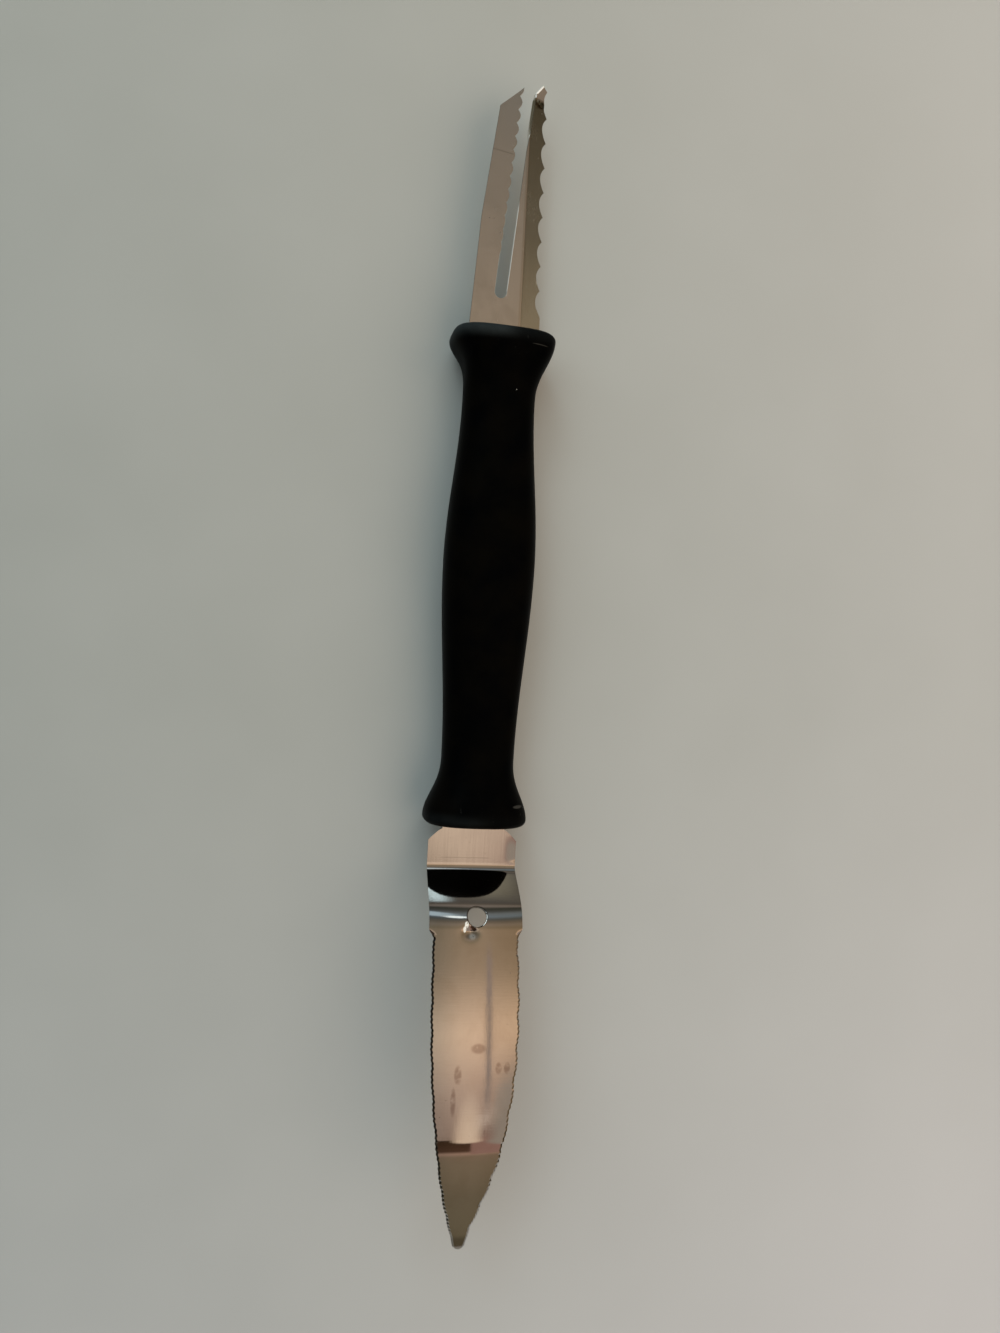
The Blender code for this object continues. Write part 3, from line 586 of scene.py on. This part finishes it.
def tine_blank(builder, stations, columns, edges, spread):
    """One grid, settled between its two edges; spread says where its columns lie from 0 to 1."""
    made = bmesh.ops.create_grid(builder, x_segments=columns, y_segments=len(stations) - 1, size=1.0)["verts"]
    for vert in made:
        column, row = round((vert.co.x + 1) / 2 * columns), round((vert.co.y + 1) / 2 * (len(stations) - 1))
        y = stations[row]
        left, right = edges(y)
        vert.co = (spread(left, right, column / columns), y, 0)


def even_spread(left, right, t):
    """Columns at even distances."""
    return left + (right - left) * t


def folded_spread(left, right, t):
    """Columns that gather in the fold, so that it bends smoothly."""
    if right <= FOLD_TO or left >= FOLD_TO:
        return left + (right - left) * t
    inner = min(max(left, FOLD_FROM), FOLD_TO)
    if t <= 0.25:
        return left + (inner - left) * t / 0.25
    if t <= 0.6:
        return inner + (FOLD_TO - inner) * (t - 0.25) / 0.35
    return FOLD_TO + (right - FOLD_TO) * (t - 0.6) / 0.4


bump_rows = [LEFT_LENGTH - BUMP_START - BUMP_PITCH * k / 10 for k in range(BUMP_COUNT * 10, -1, -1)]
plain_rows = [SLOT_LOW + (bump_rows[0] - SLOT_LOW) * k / 24 for k in range(1, 24)]
left_rows = SEAM + SLOT_END + plain_rows + bump_rows
left_rows += [LEFT_LENGTH - BUMP_START * (1 - k / 6) for k in range(1, 7)]
first_tooth = LAST_TOOTH - BIG_TEETH * BIG_TOOTH_PITCH
tooth_rows = [first_tooth + BIG_TOOTH_PITCH * k / 20 for k in range(BIG_TEETH * 20 + 1)]
right_rows = SEAM + SLOT_END + [y for y in tooth_rows if y > SLOT_LOW + 1e-5]
right_rows += [LAST_TOOTH + (RIGHT_LENGTH - LAST_TOOTH) * k / 5 for k in range(1, 6)]

tines = bmesh.new()
tine_blank(tines, left_rows, 12, left_tine_edges, even_spread)
tine_blank(tines, right_rows, 28, right_tine_edges, folded_spread)
bmesh.ops.remove_doubles(tines, verts=tines.verts[:], dist=1e-6)
bmesh.ops.dissolve_degenerate(tines, edges=tines.edges[:], dist=1e-6)
print("tines:", len(tines.faces), "faces")

# %% Fold the right tine down and give the sheet its thickness
FORK_TURN = Matrix.Rotation(FORK_LEAN, 3, 'Z')
BIG_GRIND = 0.0010
PRESSED_FROM, PRESSED_LENGTH, PRESSED_ANGLE = 0.0505, 0.0003, math.radians(15)


def fork_point(x, y, face):
    """World place of a point of the twin blade's blank on one face of the sheet."""
    pressed = ease((y + 0.35 * (x - FOLD_X) - PRESSED_FROM) / PRESSED_LENGTH)
    drop, angle = fold_drop(x, FOLD_ANGLE - PRESSED_ANGLE * pressed)
    half = FORK_HALF_THICKNESS
    if face < 0 and x > FOLD_TO and y > 0.001:
        inward = max(right_tine_edges(y)[1] - x, 0.0) / math.cos(FOLD_ANGLE)
        half -= (FORK_HALF_THICKNESS - 0.00014) * (1 - min(inward / BIG_GRIND, 1.0))
    lift = face * half
    place = FORK_TURN @ Vector((x + lift * math.sin(angle), y, drop + lift * math.cos(angle)))
    return place + Vector((0, HALF_HANDLE + KNIFE_SHIFT, AXIS_HEIGHT))


rims, _ = two_faces(tines, fork_point)
bmesh.ops.bridge_loops(tines, edges=rims)
soften_rims(tines, [e for e in rims if e.is_valid], 0.00005)
twin_blade = finish_piece("twin_blade_sheet", tines, "twin_blade", 12.0)

# %% [markdown]
# ## The finishes
# Two finishes carry the look: satin black plastic and worn, polished steel. Each is made of nodes
# that read object coordinates, so a scratch keeps its real size in metres. A small bench of helpers
# adds and joins the nodes, because the recipes are easier to read that way.

# %% Helpers for a finish
class NodeBench:
    """One tree of nodes on the bench: it adds nodes and joins them."""

    def __init__(self, tree):
        self.tree = tree

    def add(self, kind, joins=None, **settings):
        """Add a node, give or join its inputs by name or number, and return its outputs."""
        node = self.tree.nodes.new(kind)
        for key, value in settings.items():
            setattr(node, key, value)
        for socket, value in (joins or {}).items():
            if isinstance(value, bpy.types.NodeSocket):
                self.tree.links.new(value, node.inputs[socket])
            else:
                node.inputs[socket].default_value = value
        return node.outputs

    def fit(self, value, low, high, to_low=0.0, to_high=1.0, soft=False):
        """Map a range of values onto another, and stop at its ends."""
        kind = 'SMOOTHSTEP' if soft else 'LINEAR'
        return self.add("ShaderNodeMapRange", {0: value, 1: low, 2: high, 3: to_low, 4: to_high},
                        interpolation_type=kind)["Result"]

    def sum(self, operation, first, second):
        """Combine two values."""
        return self.add("ShaderNodeMath", {0: first, 1: second}, operation=operation)["Value"]

    def band(self, value, low, high, soft):
        """1 between low and high, 0 outside, with soft ends."""
        return self.sum('MULTIPLY', self.fit(value, low - soft, low + soft, soft=True),
                        self.fit(value, high - soft, high + soft, 1.0, 0.0, soft=True))

    def blend(self, amount, first, second, kind='MIX'):
        """Mix two colours by an amount, or multiply them."""
        return self.add("ShaderNodeMix", {0: amount, 6: first, 7: second},
                        data_type='RGBA', blend_type=kind)[2]

    def ramp(self, value, stops):
        """Colours along a range of values, from a list of places and colours."""
        node = self.tree.nodes.new("ShaderNodeValToRGB")
        elements = node.color_ramp.elements
        while len(elements) < len(stops):
            elements.new(1.0)
        for element, (place, colour) in zip(elements, stops):
            element.position, element.color = place, (*colour, 1)
        self.tree.links.new(value, node.inputs["Fac"])
        return node.outputs["Color"]


class FinishBench(NodeBench):
    """One material: it reads places on the object and joins what it makes to the shader."""

    def __init__(self, name):
        self.material = bpy.data.materials.new(name)
        self.material.use_nodes = True
        super().__init__(self.material.node_tree)
        self.shader = self.tree.nodes["Principled BSDF"]
        self.where = self.add("ShaderNodeTexCoord")["Object"]
        self.across, self.along, self.up = self.add("ShaderNodeSeparateXYZ", {"Vector": self.where})

    def noise(self, scale, detail=2.0, roughness=0.5, stretch=(1, 1, 1), turn=(0, 0, 0), distortion=0.0):
        """Noise in object coordinates; scale is in spots per metre."""
        place = self.add("ShaderNodeMapping",
                         {"Vector": self.where, "Scale": stretch, "Rotation": turn})["Vector"]
        return self.add("ShaderNodeTexNoise", {"Vector": place, "Scale": scale, "Detail": detail,
                                               "Roughness": roughness, "Distortion": distortion})["Fac"]

    def spot(self, x, y, half_width, half_length, soft=0.5):
        """1 inside an oval spot seen from above, at x and y, fading to 0 past its rim."""
        aside = self.sum('DIVIDE', self.sum('SUBTRACT', self.across, x), half_width)
        ahead = self.sum('DIVIDE', self.sum('SUBTRACT', self.along, y), half_length)
        square = self.sum('ADD', self.sum('MULTIPLY', aside, aside), self.sum('MULTIPLY', ahead, ahead))
        return self.fit(square, 1 + soft, 1 - soft, soft=True)

    def relief(self, height, depth, under=None):
        """A bump whose highest parts stand depth metres above its lowest ones."""
        joins = {"Height": height, "Strength": 1.0, "Distance": depth}
        if under:
            joins["Normal"] = under
        return self.add("ShaderNodeBump", joins)["Normal"]

    def join(self, socket, value):
        """Join a value to the shader."""
        self.tree.links.new(value, self.shader.inputs[socket])

    def dress(self, piece):
        """Give a piece this finish."""
        piece.data.materials.clear()
        piece.data.materials.append(self.material)
        print(piece.name, "wears", self.material.name, "with", len(self.tree.nodes), "nodes")


# %% [markdown]
# ## Black moulded plastic
# The real handle is nearly black and satin: a fine grain from the mould, a little polish where a
# hand rubs it, and small pale scuffs on the flares, which touch the drawer. The grain is a bump, the
# polish is a slow change of roughness, and the scuffs are stretched noise, kept to the flares.

# %% Black satin plastic
plastic = FinishBench("black_satin_moulding")
plastic.shader.inputs["Specular IOR Level"].default_value = 0.012
from_middle = plastic.sum('ABSOLUTE', plastic.sum('SUBTRACT', plastic.along, KNIFE_SHIFT), 0.0)
at_flares = plastic.fit(from_middle, WAIST_PLACE + 0.004, HALF_HANDLE, soft=True)
rubbed = plastic.noise(160.0, detail=4.0)
scuff = plastic.noise(1500.0, detail=3.0, roughness=0.7, stretch=(1.0, 0.22, 1.0), turn=(0.3, 0.2, 0.9))
scuff = plastic.sum('MULTIPLY', plastic.fit(scuff, 0.68, 0.80), at_flares)
shade = plastic.blend(plastic.fit(rubbed, 0.35, 0.65),
                      (0.0007, 0.0008, 0.0009, 1), (0.0018, 0.0015, 0.0011, 1))
# Painted highlight mixed with rim wear: a bluish-grey band along the rims of the flares, strongest on the
# left towards the twin blade.
on_rim = plastic.fit(from_middle, HALF_HANDLE - 0.0036, HALF_HANDLE - 0.0012, soft=True)
rim_wear_and_highlight = plastic.sum('MULTIPLY', on_rim, plastic.fit(plastic.across, 0.003, -0.004, 0.18, 1.0, soft=True))
rim_wear_and_highlight = plastic.sum('MULTIPLY', rim_wear_and_highlight, plastic.fit(plastic.along, 0.0, 0.01, 0.25, 1.0))
rim_wear_and_highlight = plastic.sum('MULTIPLY', rim_wear_and_highlight, plastic.fit(rubbed, 0.35, 0.6, 0.55, 1.0))
shade = plastic.blend(rim_wear_and_highlight, shade, (0.026, 0.031, 0.032, 1))
shade = plastic.blend(scuff, shade, (0.045, 0.045, 0.043, 1))
# The first spot is a pale speck; the other two are painted highlights on the right sides of the two flares.
for speck_and_glint, colour in (((0.0024, 0.0544, 0.00010, 0.00010), (0.25, 0.25, 0.22, 1)),
                     ((0.0064, 0.0634, 0.0017, 0.00010), (0.022, 0.021, 0.018, 1)),
                     ((0.0078, -0.0303, 0.0011, 0.00030), (0.035, 0.033, 0.03, 1))):
    shade = plastic.blend(plastic.spot(*speck_and_glint), shade, colour)
plastic.join("Base Color", shade)
plastic.join("Roughness", plastic.sum('ADD', plastic.fit(rubbed, 0.3, 0.7, 0.36, 0.47),
                                      plastic.sum('MULTIPLY', scuff, 0.2)))
grain = plastic.noise(7000.0, detail=1.0)
swell = plastic.relief(plastic.noise(420.0, detail=2.0), 0.000012)
plastic.join("Normal", plastic.relief(grain, 0.000004, swell))
plastic.dress(handle)

# %% [markdown]
# ## Worn, polished steel
# The real blades were polished once and then washed for years. Under a lamp they show long hairline
# scratches, cloudy patches where water dried, and a duller ground edge. Steel is all reflection, so
# most of the wear lives in the roughness and in a very shallow bump; the colour also carries painted
# shade and painted highlights, which each blade's shading rule adds.

# %% Steel for both blades
def steel_finish(name, clean, cloudy, dullness, shading):
    """Worn steel: two near colours, its roughness, and a rule that shades its parts."""
    steel = FinishBench(name)
    steel.shader.inputs["Metallic"].default_value = 1.0
    clouds = steel.noise(130.0, detail=5.0, roughness=0.55, distortion=0.4)
    hairlines = steel.noise(2600.0, detail=3.0, roughness=0.6, stretch=(1.0, 0.03, 1.0))
    crossing = steel.noise(3000.0, detail=2.0, roughness=0.6, stretch=(0.05, 1.0, 1.0), turn=(0, 0, 0.35))
    specks = steel.noise(2200.0, detail=2.0)
    cloud_amount = steel.fit(clouds, 0.42, 0.68, soft=True)
    colour, extra_dull = shading(steel, steel.blend(cloud_amount, clean, cloudy))
    spot = steel.fit(specks, 0.74, 0.80)
    steel.join("Base Color", steel.blend(spot, colour, tuple(c * 0.55 for c in cloudy[:3]) + (1,)))
    dull = steel.sum('ADD', steel.fit(cloud_amount, 0.0, 1.0, dullness, dullness * 1.35),
                     steel.fit(hairlines, 0.35, 0.75, 0.0, 0.04))
    dull = steel.sum('ADD', dull, extra_dull)
    steel.join("Roughness", steel.sum('ADD', dull, steel.sum('MULTIPLY', spot, 0.25)))
    scratches = steel.relief(hairlines, 0.0000018)
    steel.join("Normal", steel.relief(crossing, 0.000001, scratches))
    return steel


# Stains on the curved blade: place across and along, half width and half length
STAINS = ((-0.0028, -0.0817, 0.0007, 0.0016), (-0.0036, -0.0866, 0.0005, 0.0024),
          (0.0053, -0.0806, 0.0006, 0.0010), (0.0070, -0.0806, 0.0006, 0.0010),
          (0.0012, -0.0769, 0.0014, 0.0009))


def shade_curved_blade(steel, colour):
    """The flat of the shank is the cleanest and the face is rubbed duller than the bend; the tip, the hole's
    rim and the tooth gaps get painted shade, and spots past the hole get painted highlights.
    """
    on_shank = steel.fit(steel.along, SHANK_END_Y - 0.0006, SHANK_END_Y + 0.0006, soft=True)
    on_face = steel.band(steel.along, CREASE_Y + 0.002, FACE_Y - 0.003, 0.003)
    # Painted shade: the last few millimetres of the tip are darker.
    tip_painted_dark = steel.fit(steel.along, TIP_Y + 0.0045, TIP_Y + 0.0025, soft=True)
    pressed_line = steel.band(steel.along, SHANK_LINE_Y - 0.0001, SHANK_LINE_Y + 0.0001, 0.00008)
    pressed_line = steel.sum('MULTIPLY', pressed_line, steel.band(steel.across, -0.0066, 0.0036, 0.0010))
    from_hole = steel.add("ShaderNodeVectorMath", {0: steel.where, 1: HOLE_CENTRE},
                          operation='DISTANCE')["Value"]
    # Painted shade: a dark ring round the rim of the hanging hole.
    hole_rim_shade = steel.fit(from_hole, HOLE_RADIUS + 0.00042, HOLE_RADIUS + 0.00022, soft=True)
    colour = steel.blend(on_shank, colour, (0.66, 0.65, 0.63, 1))
    colour = steel.blend(tip_painted_dark, colour, (0.36, 0.34, 0.31, 1))
    colour = steel.blend(steel.sum('MULTIPLY', pressed_line, 0.25), colour, (0.30, 0.29, 0.28, 1))
    colour = steel.blend(steel.sum('MULTIPLY', hole_rim_shade, 0.75), colour, (0.12, 0.10, 0.08, 1))
    ragged = steel.fit(steel.noise(900.0, detail=3.0), 0.28, 0.50)
    for stained in STAINS:
        stain = steel.sum('MULTIPLY', steel.spot(*stained, 0.7), ragged)
        colour = steel.blend(steel.sum('MULTIPLY', stain, 0.75), colour, (0.36, 0.30, 0.27, 1))
    # Painted shade: the ground edges are darkened, most in the tooth gaps.
    gap = steel.fit(steel.add("ShaderNodeAttribute", attribute_name="tooth_gap_shade")["Fac"], 0.25, 0.85)
    colour = steel.blend(steel.sum('MULTIPLY', gap, 0.85), colour, (0.06, 0.05, 0.04, 1))
    # Painted highlights: white, non-metallic spots on and before the dent past the hole, broken up by noise.
    painted_glints = steel.sum('MAXIMUM', steel.spot(-0.0018, -0.0537, 0.0004, 0.0006),
                     steel.spot(-0.0022, -0.0546, 0.0003, 0.0006))
    faint_glint = steel.sum('MULTIPLY', steel.spot(-0.0006, -0.0560, 0.0006, 0.0005, 1.0), 0.2)
    painted_glints = steel.sum('MAXIMUM', painted_glints, faint_glint)
    painted_glints = steel.sum('MULTIPLY', painted_glints, steel.fit(steel.noise(2600.0, detail=2.0), 0.30, 0.46))
    steel.join("Metallic", steel.fit(painted_glints, 0.0, 1.0, 1.0, 0.0))
    colour = steel.blend(painted_glints, colour, (0.90, 0.88, 0.82, 1))
    return colour, steel.sum('ADD', steel.sum('MULTIPLY', on_face, 0.015),
                             steel.sum('MULTIPLY', on_shank, 0.08))


def shade_twin_blade(steel, colour):
    """The folded side gets painted shade, light near the root and darkest towards its tip, and is duller; the
    cut edges get painted highlights and the left tine a painted reflection line.
    """
    from_root = steel.sum('SUBTRACT', steel.along, HALF_HANDLE + KNIFE_SHIFT)
    beside = steel.sum('ADD', steel.across, steel.sum('MULTIPLY', from_root, math.tan(FORK_LEAN)))
    on_flange = steel.fit(beside, FOLD_FROM + 0.0001, FOLD_TO + 0.0002, soft=True)
    # Painted shade along the folded side: light near the root, darkest near the tip, lighter again on the
    # pressed tip.
    far = steel.fit(from_root, 0.0, RIGHT_LENGTH)
    flange_painted_shade = steel.ramp(far, ((0.0, (0.92, 0.82, 0.64)), (0.42, (0.45, 0.41, 0.33)),
                            (0.935, (0.21, 0.185, 0.13)), (0.946, (0.68, 0.65, 0.60)),
                            (1.0, (0.72, 0.69, 0.64))))
    colour = steel.blend(on_flange, colour, flange_painted_shade)

    # Painted highlights: thin white, non-metallic lines along the slot's right edge and the slanted cut at
    # the right tine's tip.
    cut = steel.fit(from_root, SLOT_LOW, SLOT_CURVE_FROM, SLOT_MIDDLE + SLOT_HALF,
                    right_tine_edges(SLOT_CURVE_FROM)[0])
    cut = steel.sum('MULTIPLY', steel.band(steel.sum('SUBTRACT', beside, cut), -0.00015, 0.00008, 0.00003),
                    steel.band(from_root, SLOT_LOW, 0.0275, 0.0015))
    tip_edge_highlight = steel.fit(from_root, RIGHT_CORNER, RIGHT_LENGTH, CUT_CORNER, RIGHT_PEAK)
    tip_edge_highlight = steel.sum('SUBTRACT', beside, tip_edge_highlight)
    tip_edge_highlight = steel.sum('MULTIPLY', steel.band(tip_edge_highlight, -0.0003, 0.00048, 0.00004),
                      steel.fit(from_root, RIGHT_CORNER, RIGHT_CORNER + 0.0001))
    painted_edge_highlight = steel.sum('MAXIMUM', steel.sum('MULTIPLY', cut, 0.7), tip_edge_highlight)
    steel.join("Metallic", steel.fit(painted_edge_highlight, 0.0, 1.0, 1.0, 0.0))
    colour = steel.blend(painted_edge_highlight, colour, (0.95, 0.93, 0.88, 1))

    # Painted reflection: a faint dark line across the left tine.
    step = steel.sum('ADD', from_root, steel.sum('MULTIPLY', beside, 0.12))
    painted_reflection_line = steel.sum('MULTIPLY', steel.band(step, 0.0377, 0.0379, 0.0001),
                          steel.fit(beside, 0.0005, 0.0))
    colour = steel.blend(steel.sum('MULTIPLY', painted_reflection_line, 0.35), colour, (0.30, 0.26, 0.22, 1))
    return colour, steel.sum('MULTIPLY', on_flange, 0.04)


def blade_y(s):
    """World y of a place along the curved blade's strip."""
    return KNIFE_SHIFT - HALF_HANDLE - blade_profile(s)[0]


SHANK_END_Y, FACE_Y, CREASE_Y, TIP_Y = (blade_y(s) for s in (FOLD_START, FACE_START, CREASE_START, BLADE_END))
SHANK_LINE_Y = blade_y(0.0070)
HOLE_CENTRE = bend_point(HOLE_PLACE.x, HOLE_PLACE.y, 1)
blade_steel = steel_finish("worn_polished_steel_with_painted_light", (0.64, 0.62, 0.59, 1), (0.60, 0.57, 0.53, 1), 0.03,
                           shade_curved_blade)
blade_steel.dress(curved_blade)
fork_steel = steel_finish("worn_satin_steel_with_painted_light", (0.86, 0.84, 0.80, 1), (0.80, 0.77, 0.72, 1), 0.17,
                          shade_twin_blade)
fork_steel.dress(twin_blade)

# %% [markdown]
# ## Table and light
# The knife lies on a plain pale table in a soft light. Polished steel only shows what is around it, so
# the world is a whole small room: bands of colour from the near wall over the ceiling to the far
# wall, with a few glows for its window and lamps. Two big soft lamps, a cool one on the left and a
# warm one on the right, light the table and the plastic; the steel doesn't mirror them.

# %% The pale table
def pale_table():
    """A plain, slightly uneven matt table top, with painted light: its colour grows lighter to the right and
    towards the near side.
    """
    top = bmesh.new()
    bmesh.ops.create_grid(top, x_segments=4, y_segments=4, size=1.5)
    mesh = bpy.data.meshes.new("table_top")
    top.to_mesh(mesh)
    top.free()
    table = bpy.data.objects.new("table_top", mesh)
    bpy.context.scene.collection.objects.link(table)
    paint = FinishBench("pale_matt_paint_with_painted_light")
    paint.shader.inputs["Roughness"].default_value = 0.6
    paint.shader.inputs["Specular IOR Level"].default_value = 0.3
    # Painted light: the table's colour grows lighter to the right and towards the near side.
    painted_near_light = paint.ramp(paint.fit(paint.along, 0.13, -0.15),
                        ((0.0, (1.02, 1.0, 0.98)), (0.5, (0.97, 0.97, 0.97)), (1.0, (1.12, 1.12, 1.18))))
    pale = paint.ramp(paint.fit(paint.across, -0.12, 0.12),
                      ((0.0, (0.33, 0.35, 0.34)), (0.5, (0.385, 0.39, 0.37)), (1.0, (0.48, 0.475, 0.46))))
    unevenness = paint.fit(paint.noise(30.0, detail=2.0), 0.3, 0.7, 0.0, 0.04)
    pale = paint.blend(1.0, pale, painted_near_light, 'MULTIPLY')
    paint.join("Base Color", paint.blend(unevenness, pale, (0.8, 0.8, 0.8, 1)))
    paint.dress(table)
    return table


table = pale_table()

# %% The room that the steel mirrors
# Bands from the near wall (-90) over the ceiling to the far wall (90), in degrees
ROOM = ((-90, (0.16, 0.13, 0.08)), (-62, (0.18, 0.14, 0.09)), (-48, (0.23, 0.17, 0.11)),
        (-34, (0.26, 0.18, 0.12)), (-29, (0.42, 0.26, 0.19)), (-25, (0.1, 0.05, 0.03)),
        (-8, (0.06, 0.03, 0.015)), (-7, (0.45, 0.31, 0.24)), (-5, (0.56, 0.39, 0.3)),
        (-1, (0.98, 0.69, 0.48)), (3, (0.42, 0.3, 0.2)), (10, (0.3, 0.225, 0.145)),
        (20, (0.31, 0.24, 0.18)), (28, (0.2, 0.16, 0.12)), (36, (0.12, 0.12, 0.11)),
        (44, (0.2, 0.24, 0.27)), (51, (0.19, 0.21, 0.22)), (58, (0.08, 0.08, 0.07)),
        (64, (0.05, 0.05, 0.04)), (70, (0.24, 0.2, 0.17)), (74, (0.12, 0.1, 0.08)),
        (77, (0.1, 0.09, 0.08)), (80, (0.23, 0.21, 0.16)), (90, (0.2, 0.18, 0.14)))
# Tint from the left of the room (0) to the right (1)
SIDES = ((0.0, (0.08, 0.11, 0.13)), (0.35, (0.4, 0.46, 0.5)), (0.5, (0.68, 0.75, 0.8)),
         (0.56, (0.95, 0.97, 0.98)), (0.6, (1.0, 1.0, 1.0)), (0.7, (0.84, 0.81, 0.74)),
         (1.0, (0.85, 0.74, 0.6)))
# Glows: direction, where the glow is full and where it ends in degrees, colour
GLOWS = (((0.17, -0.155, 0.973), 1.5, 5.0, (0.86, 0.65, 0.48)),
         ((0.37, -0.18, 0.91), 4.0, 8.0, (0.36, 0.295, 0.24)),
         ((-0.35, 0.72, 0.6), 5.0, 10.0, (4.5, 5.4, 5.8)),
         ((0.75, 0.45, 0.48), 12.0, 20.0, (0.28, 0.22, 0.17)),
         ((0.02, 0.73, 0.68), 2.5, 7.5, (0.46, 0.58, 0.66)),
         ((0.12, 0.66, 0.74), 1.0, 4.0, (1.3, 1.45, 1.5)))
# Panels: from left to right, from low to high in degrees, softness and colour
PANELS = (((0.19, 0.33), (-30.0, -7.3), 0.5, (0.34, 0.19, 0.15)),
          ((0.33, 1.2), (-30.0, -7.3), 0.5, (0.34, 0.27, 0.22)),
          ((0.2, 1.2), (-7.5, -7.1), 0.1, (0.22, 0.14, 0.11)),
          ((0.2, 1.2), (-7.0, -6.3), 0.15, (0.7, 0.55, 0.45)),
          ((0.29, 1.2), (-6.3, -4.9), 0.15, (0.46, 0.36, 0.29)),
          ((0.244, 0.268), (-6.0, 4.0), 0.6, (0.34, 0.26, 0.22)))


def room_light():
    """World colours by direction: bands from the near wall over the ceiling to the far wall."""
    world = bpy.data.worlds.new("soft_room")
    world.use_nodes = True
    room = NodeBench(world.node_tree)
    direction = room.add("ShaderNodeTexCoord")["Generated"]
    across, away, up = room.add("ShaderNodeSeparateXYZ", {"Vector": direction})
    turn = room.fit(room.sum('ARCTAN2', away, up), -math.pi / 2, math.pi / 2)
    bands = room.ramp(turn, [((degrees + 90) / 180, colour) for degrees, colour in ROOM])
    sides = room.ramp(room.fit(across, -1.0, 1.0), SIDES)
    colour = room.blend(1.0, bands, sides, 'MULTIPLY')

    degrees_over = room.sum('MULTIPLY', room.sum('ARCTAN2', away, up), 180 / math.pi)
    for (left, right), (low, high), soft, tint in PANELS:
        inside = room.sum('MULTIPLY', room.band(across, left, right, 0.006),
                          room.band(degrees_over, low, high, soft))
        colour = room.blend(inside, colour, (*tint, 1))
    for toward, inner, outer, glow in GLOWS:
        nearness = room.add("ShaderNodeVectorMath", {0: direction, 1: Vector(toward).normalized()},
                            operation='DOT_PRODUCT')["Value"]
        amount = room.fit(nearness, math.cos(math.radians(outer)), math.cos(math.radians(inner)), soft=True)
        colour = room.blend(amount, colour, (*glow, 1))
    low_window = room.sum('MULTIPLY', room.band(up, 0.166, 0.235, 0.012),
                          room.band(across, -0.6, 0.115, 0.03))
    low_window = room.sum('MULTIPLY', low_window, room.fit(away, 0.5, 0.7))
    colour = room.blend(low_window, colour, (0.80, 1.0, 1.06, 1))
    room.tree.links.new(colour, room.tree.nodes["Background"].inputs["Color"])
    bpy.context.scene.world = world
    print("the room has", len(ROOM), "bands and", len(room.tree.nodes), "nodes")


def soft_lamp(name, place, aim, size, watts, colour):
    """A large rectangular lamp at a place, turned to a point."""
    data = bpy.data.lights.new(name, 'AREA')
    data.shape = 'RECTANGLE'
    data.size, data.size_y = size
    data.energy = watts
    data.color = colour
    lamp = bpy.data.objects.new(name, data)
    bpy.context.scene.collection.objects.link(lamp)
    lamp.location = place
    lamp.rotation_euler = (Vector(place) - Vector(aim)).to_track_quat('Z', 'Y').to_euler()
    print(name, watts, "W")
    return lamp


room_light()
for name, place, watts, colour in (("cool_window", (-0.55, 0.70, 1.0), 14.7, (0.80, 0.96, 1.0)),
                                   ("warm_wall", (0.75, -0.40, 1.0), 13.4, (1.0, 0.86, 0.72))):
    soft_lamp(name, place, (0, 0, 0), (1.9, 1.4), watts, colour).visible_glossy = False
bpy.context.scene.view_settings.view_transform = 'Standard'
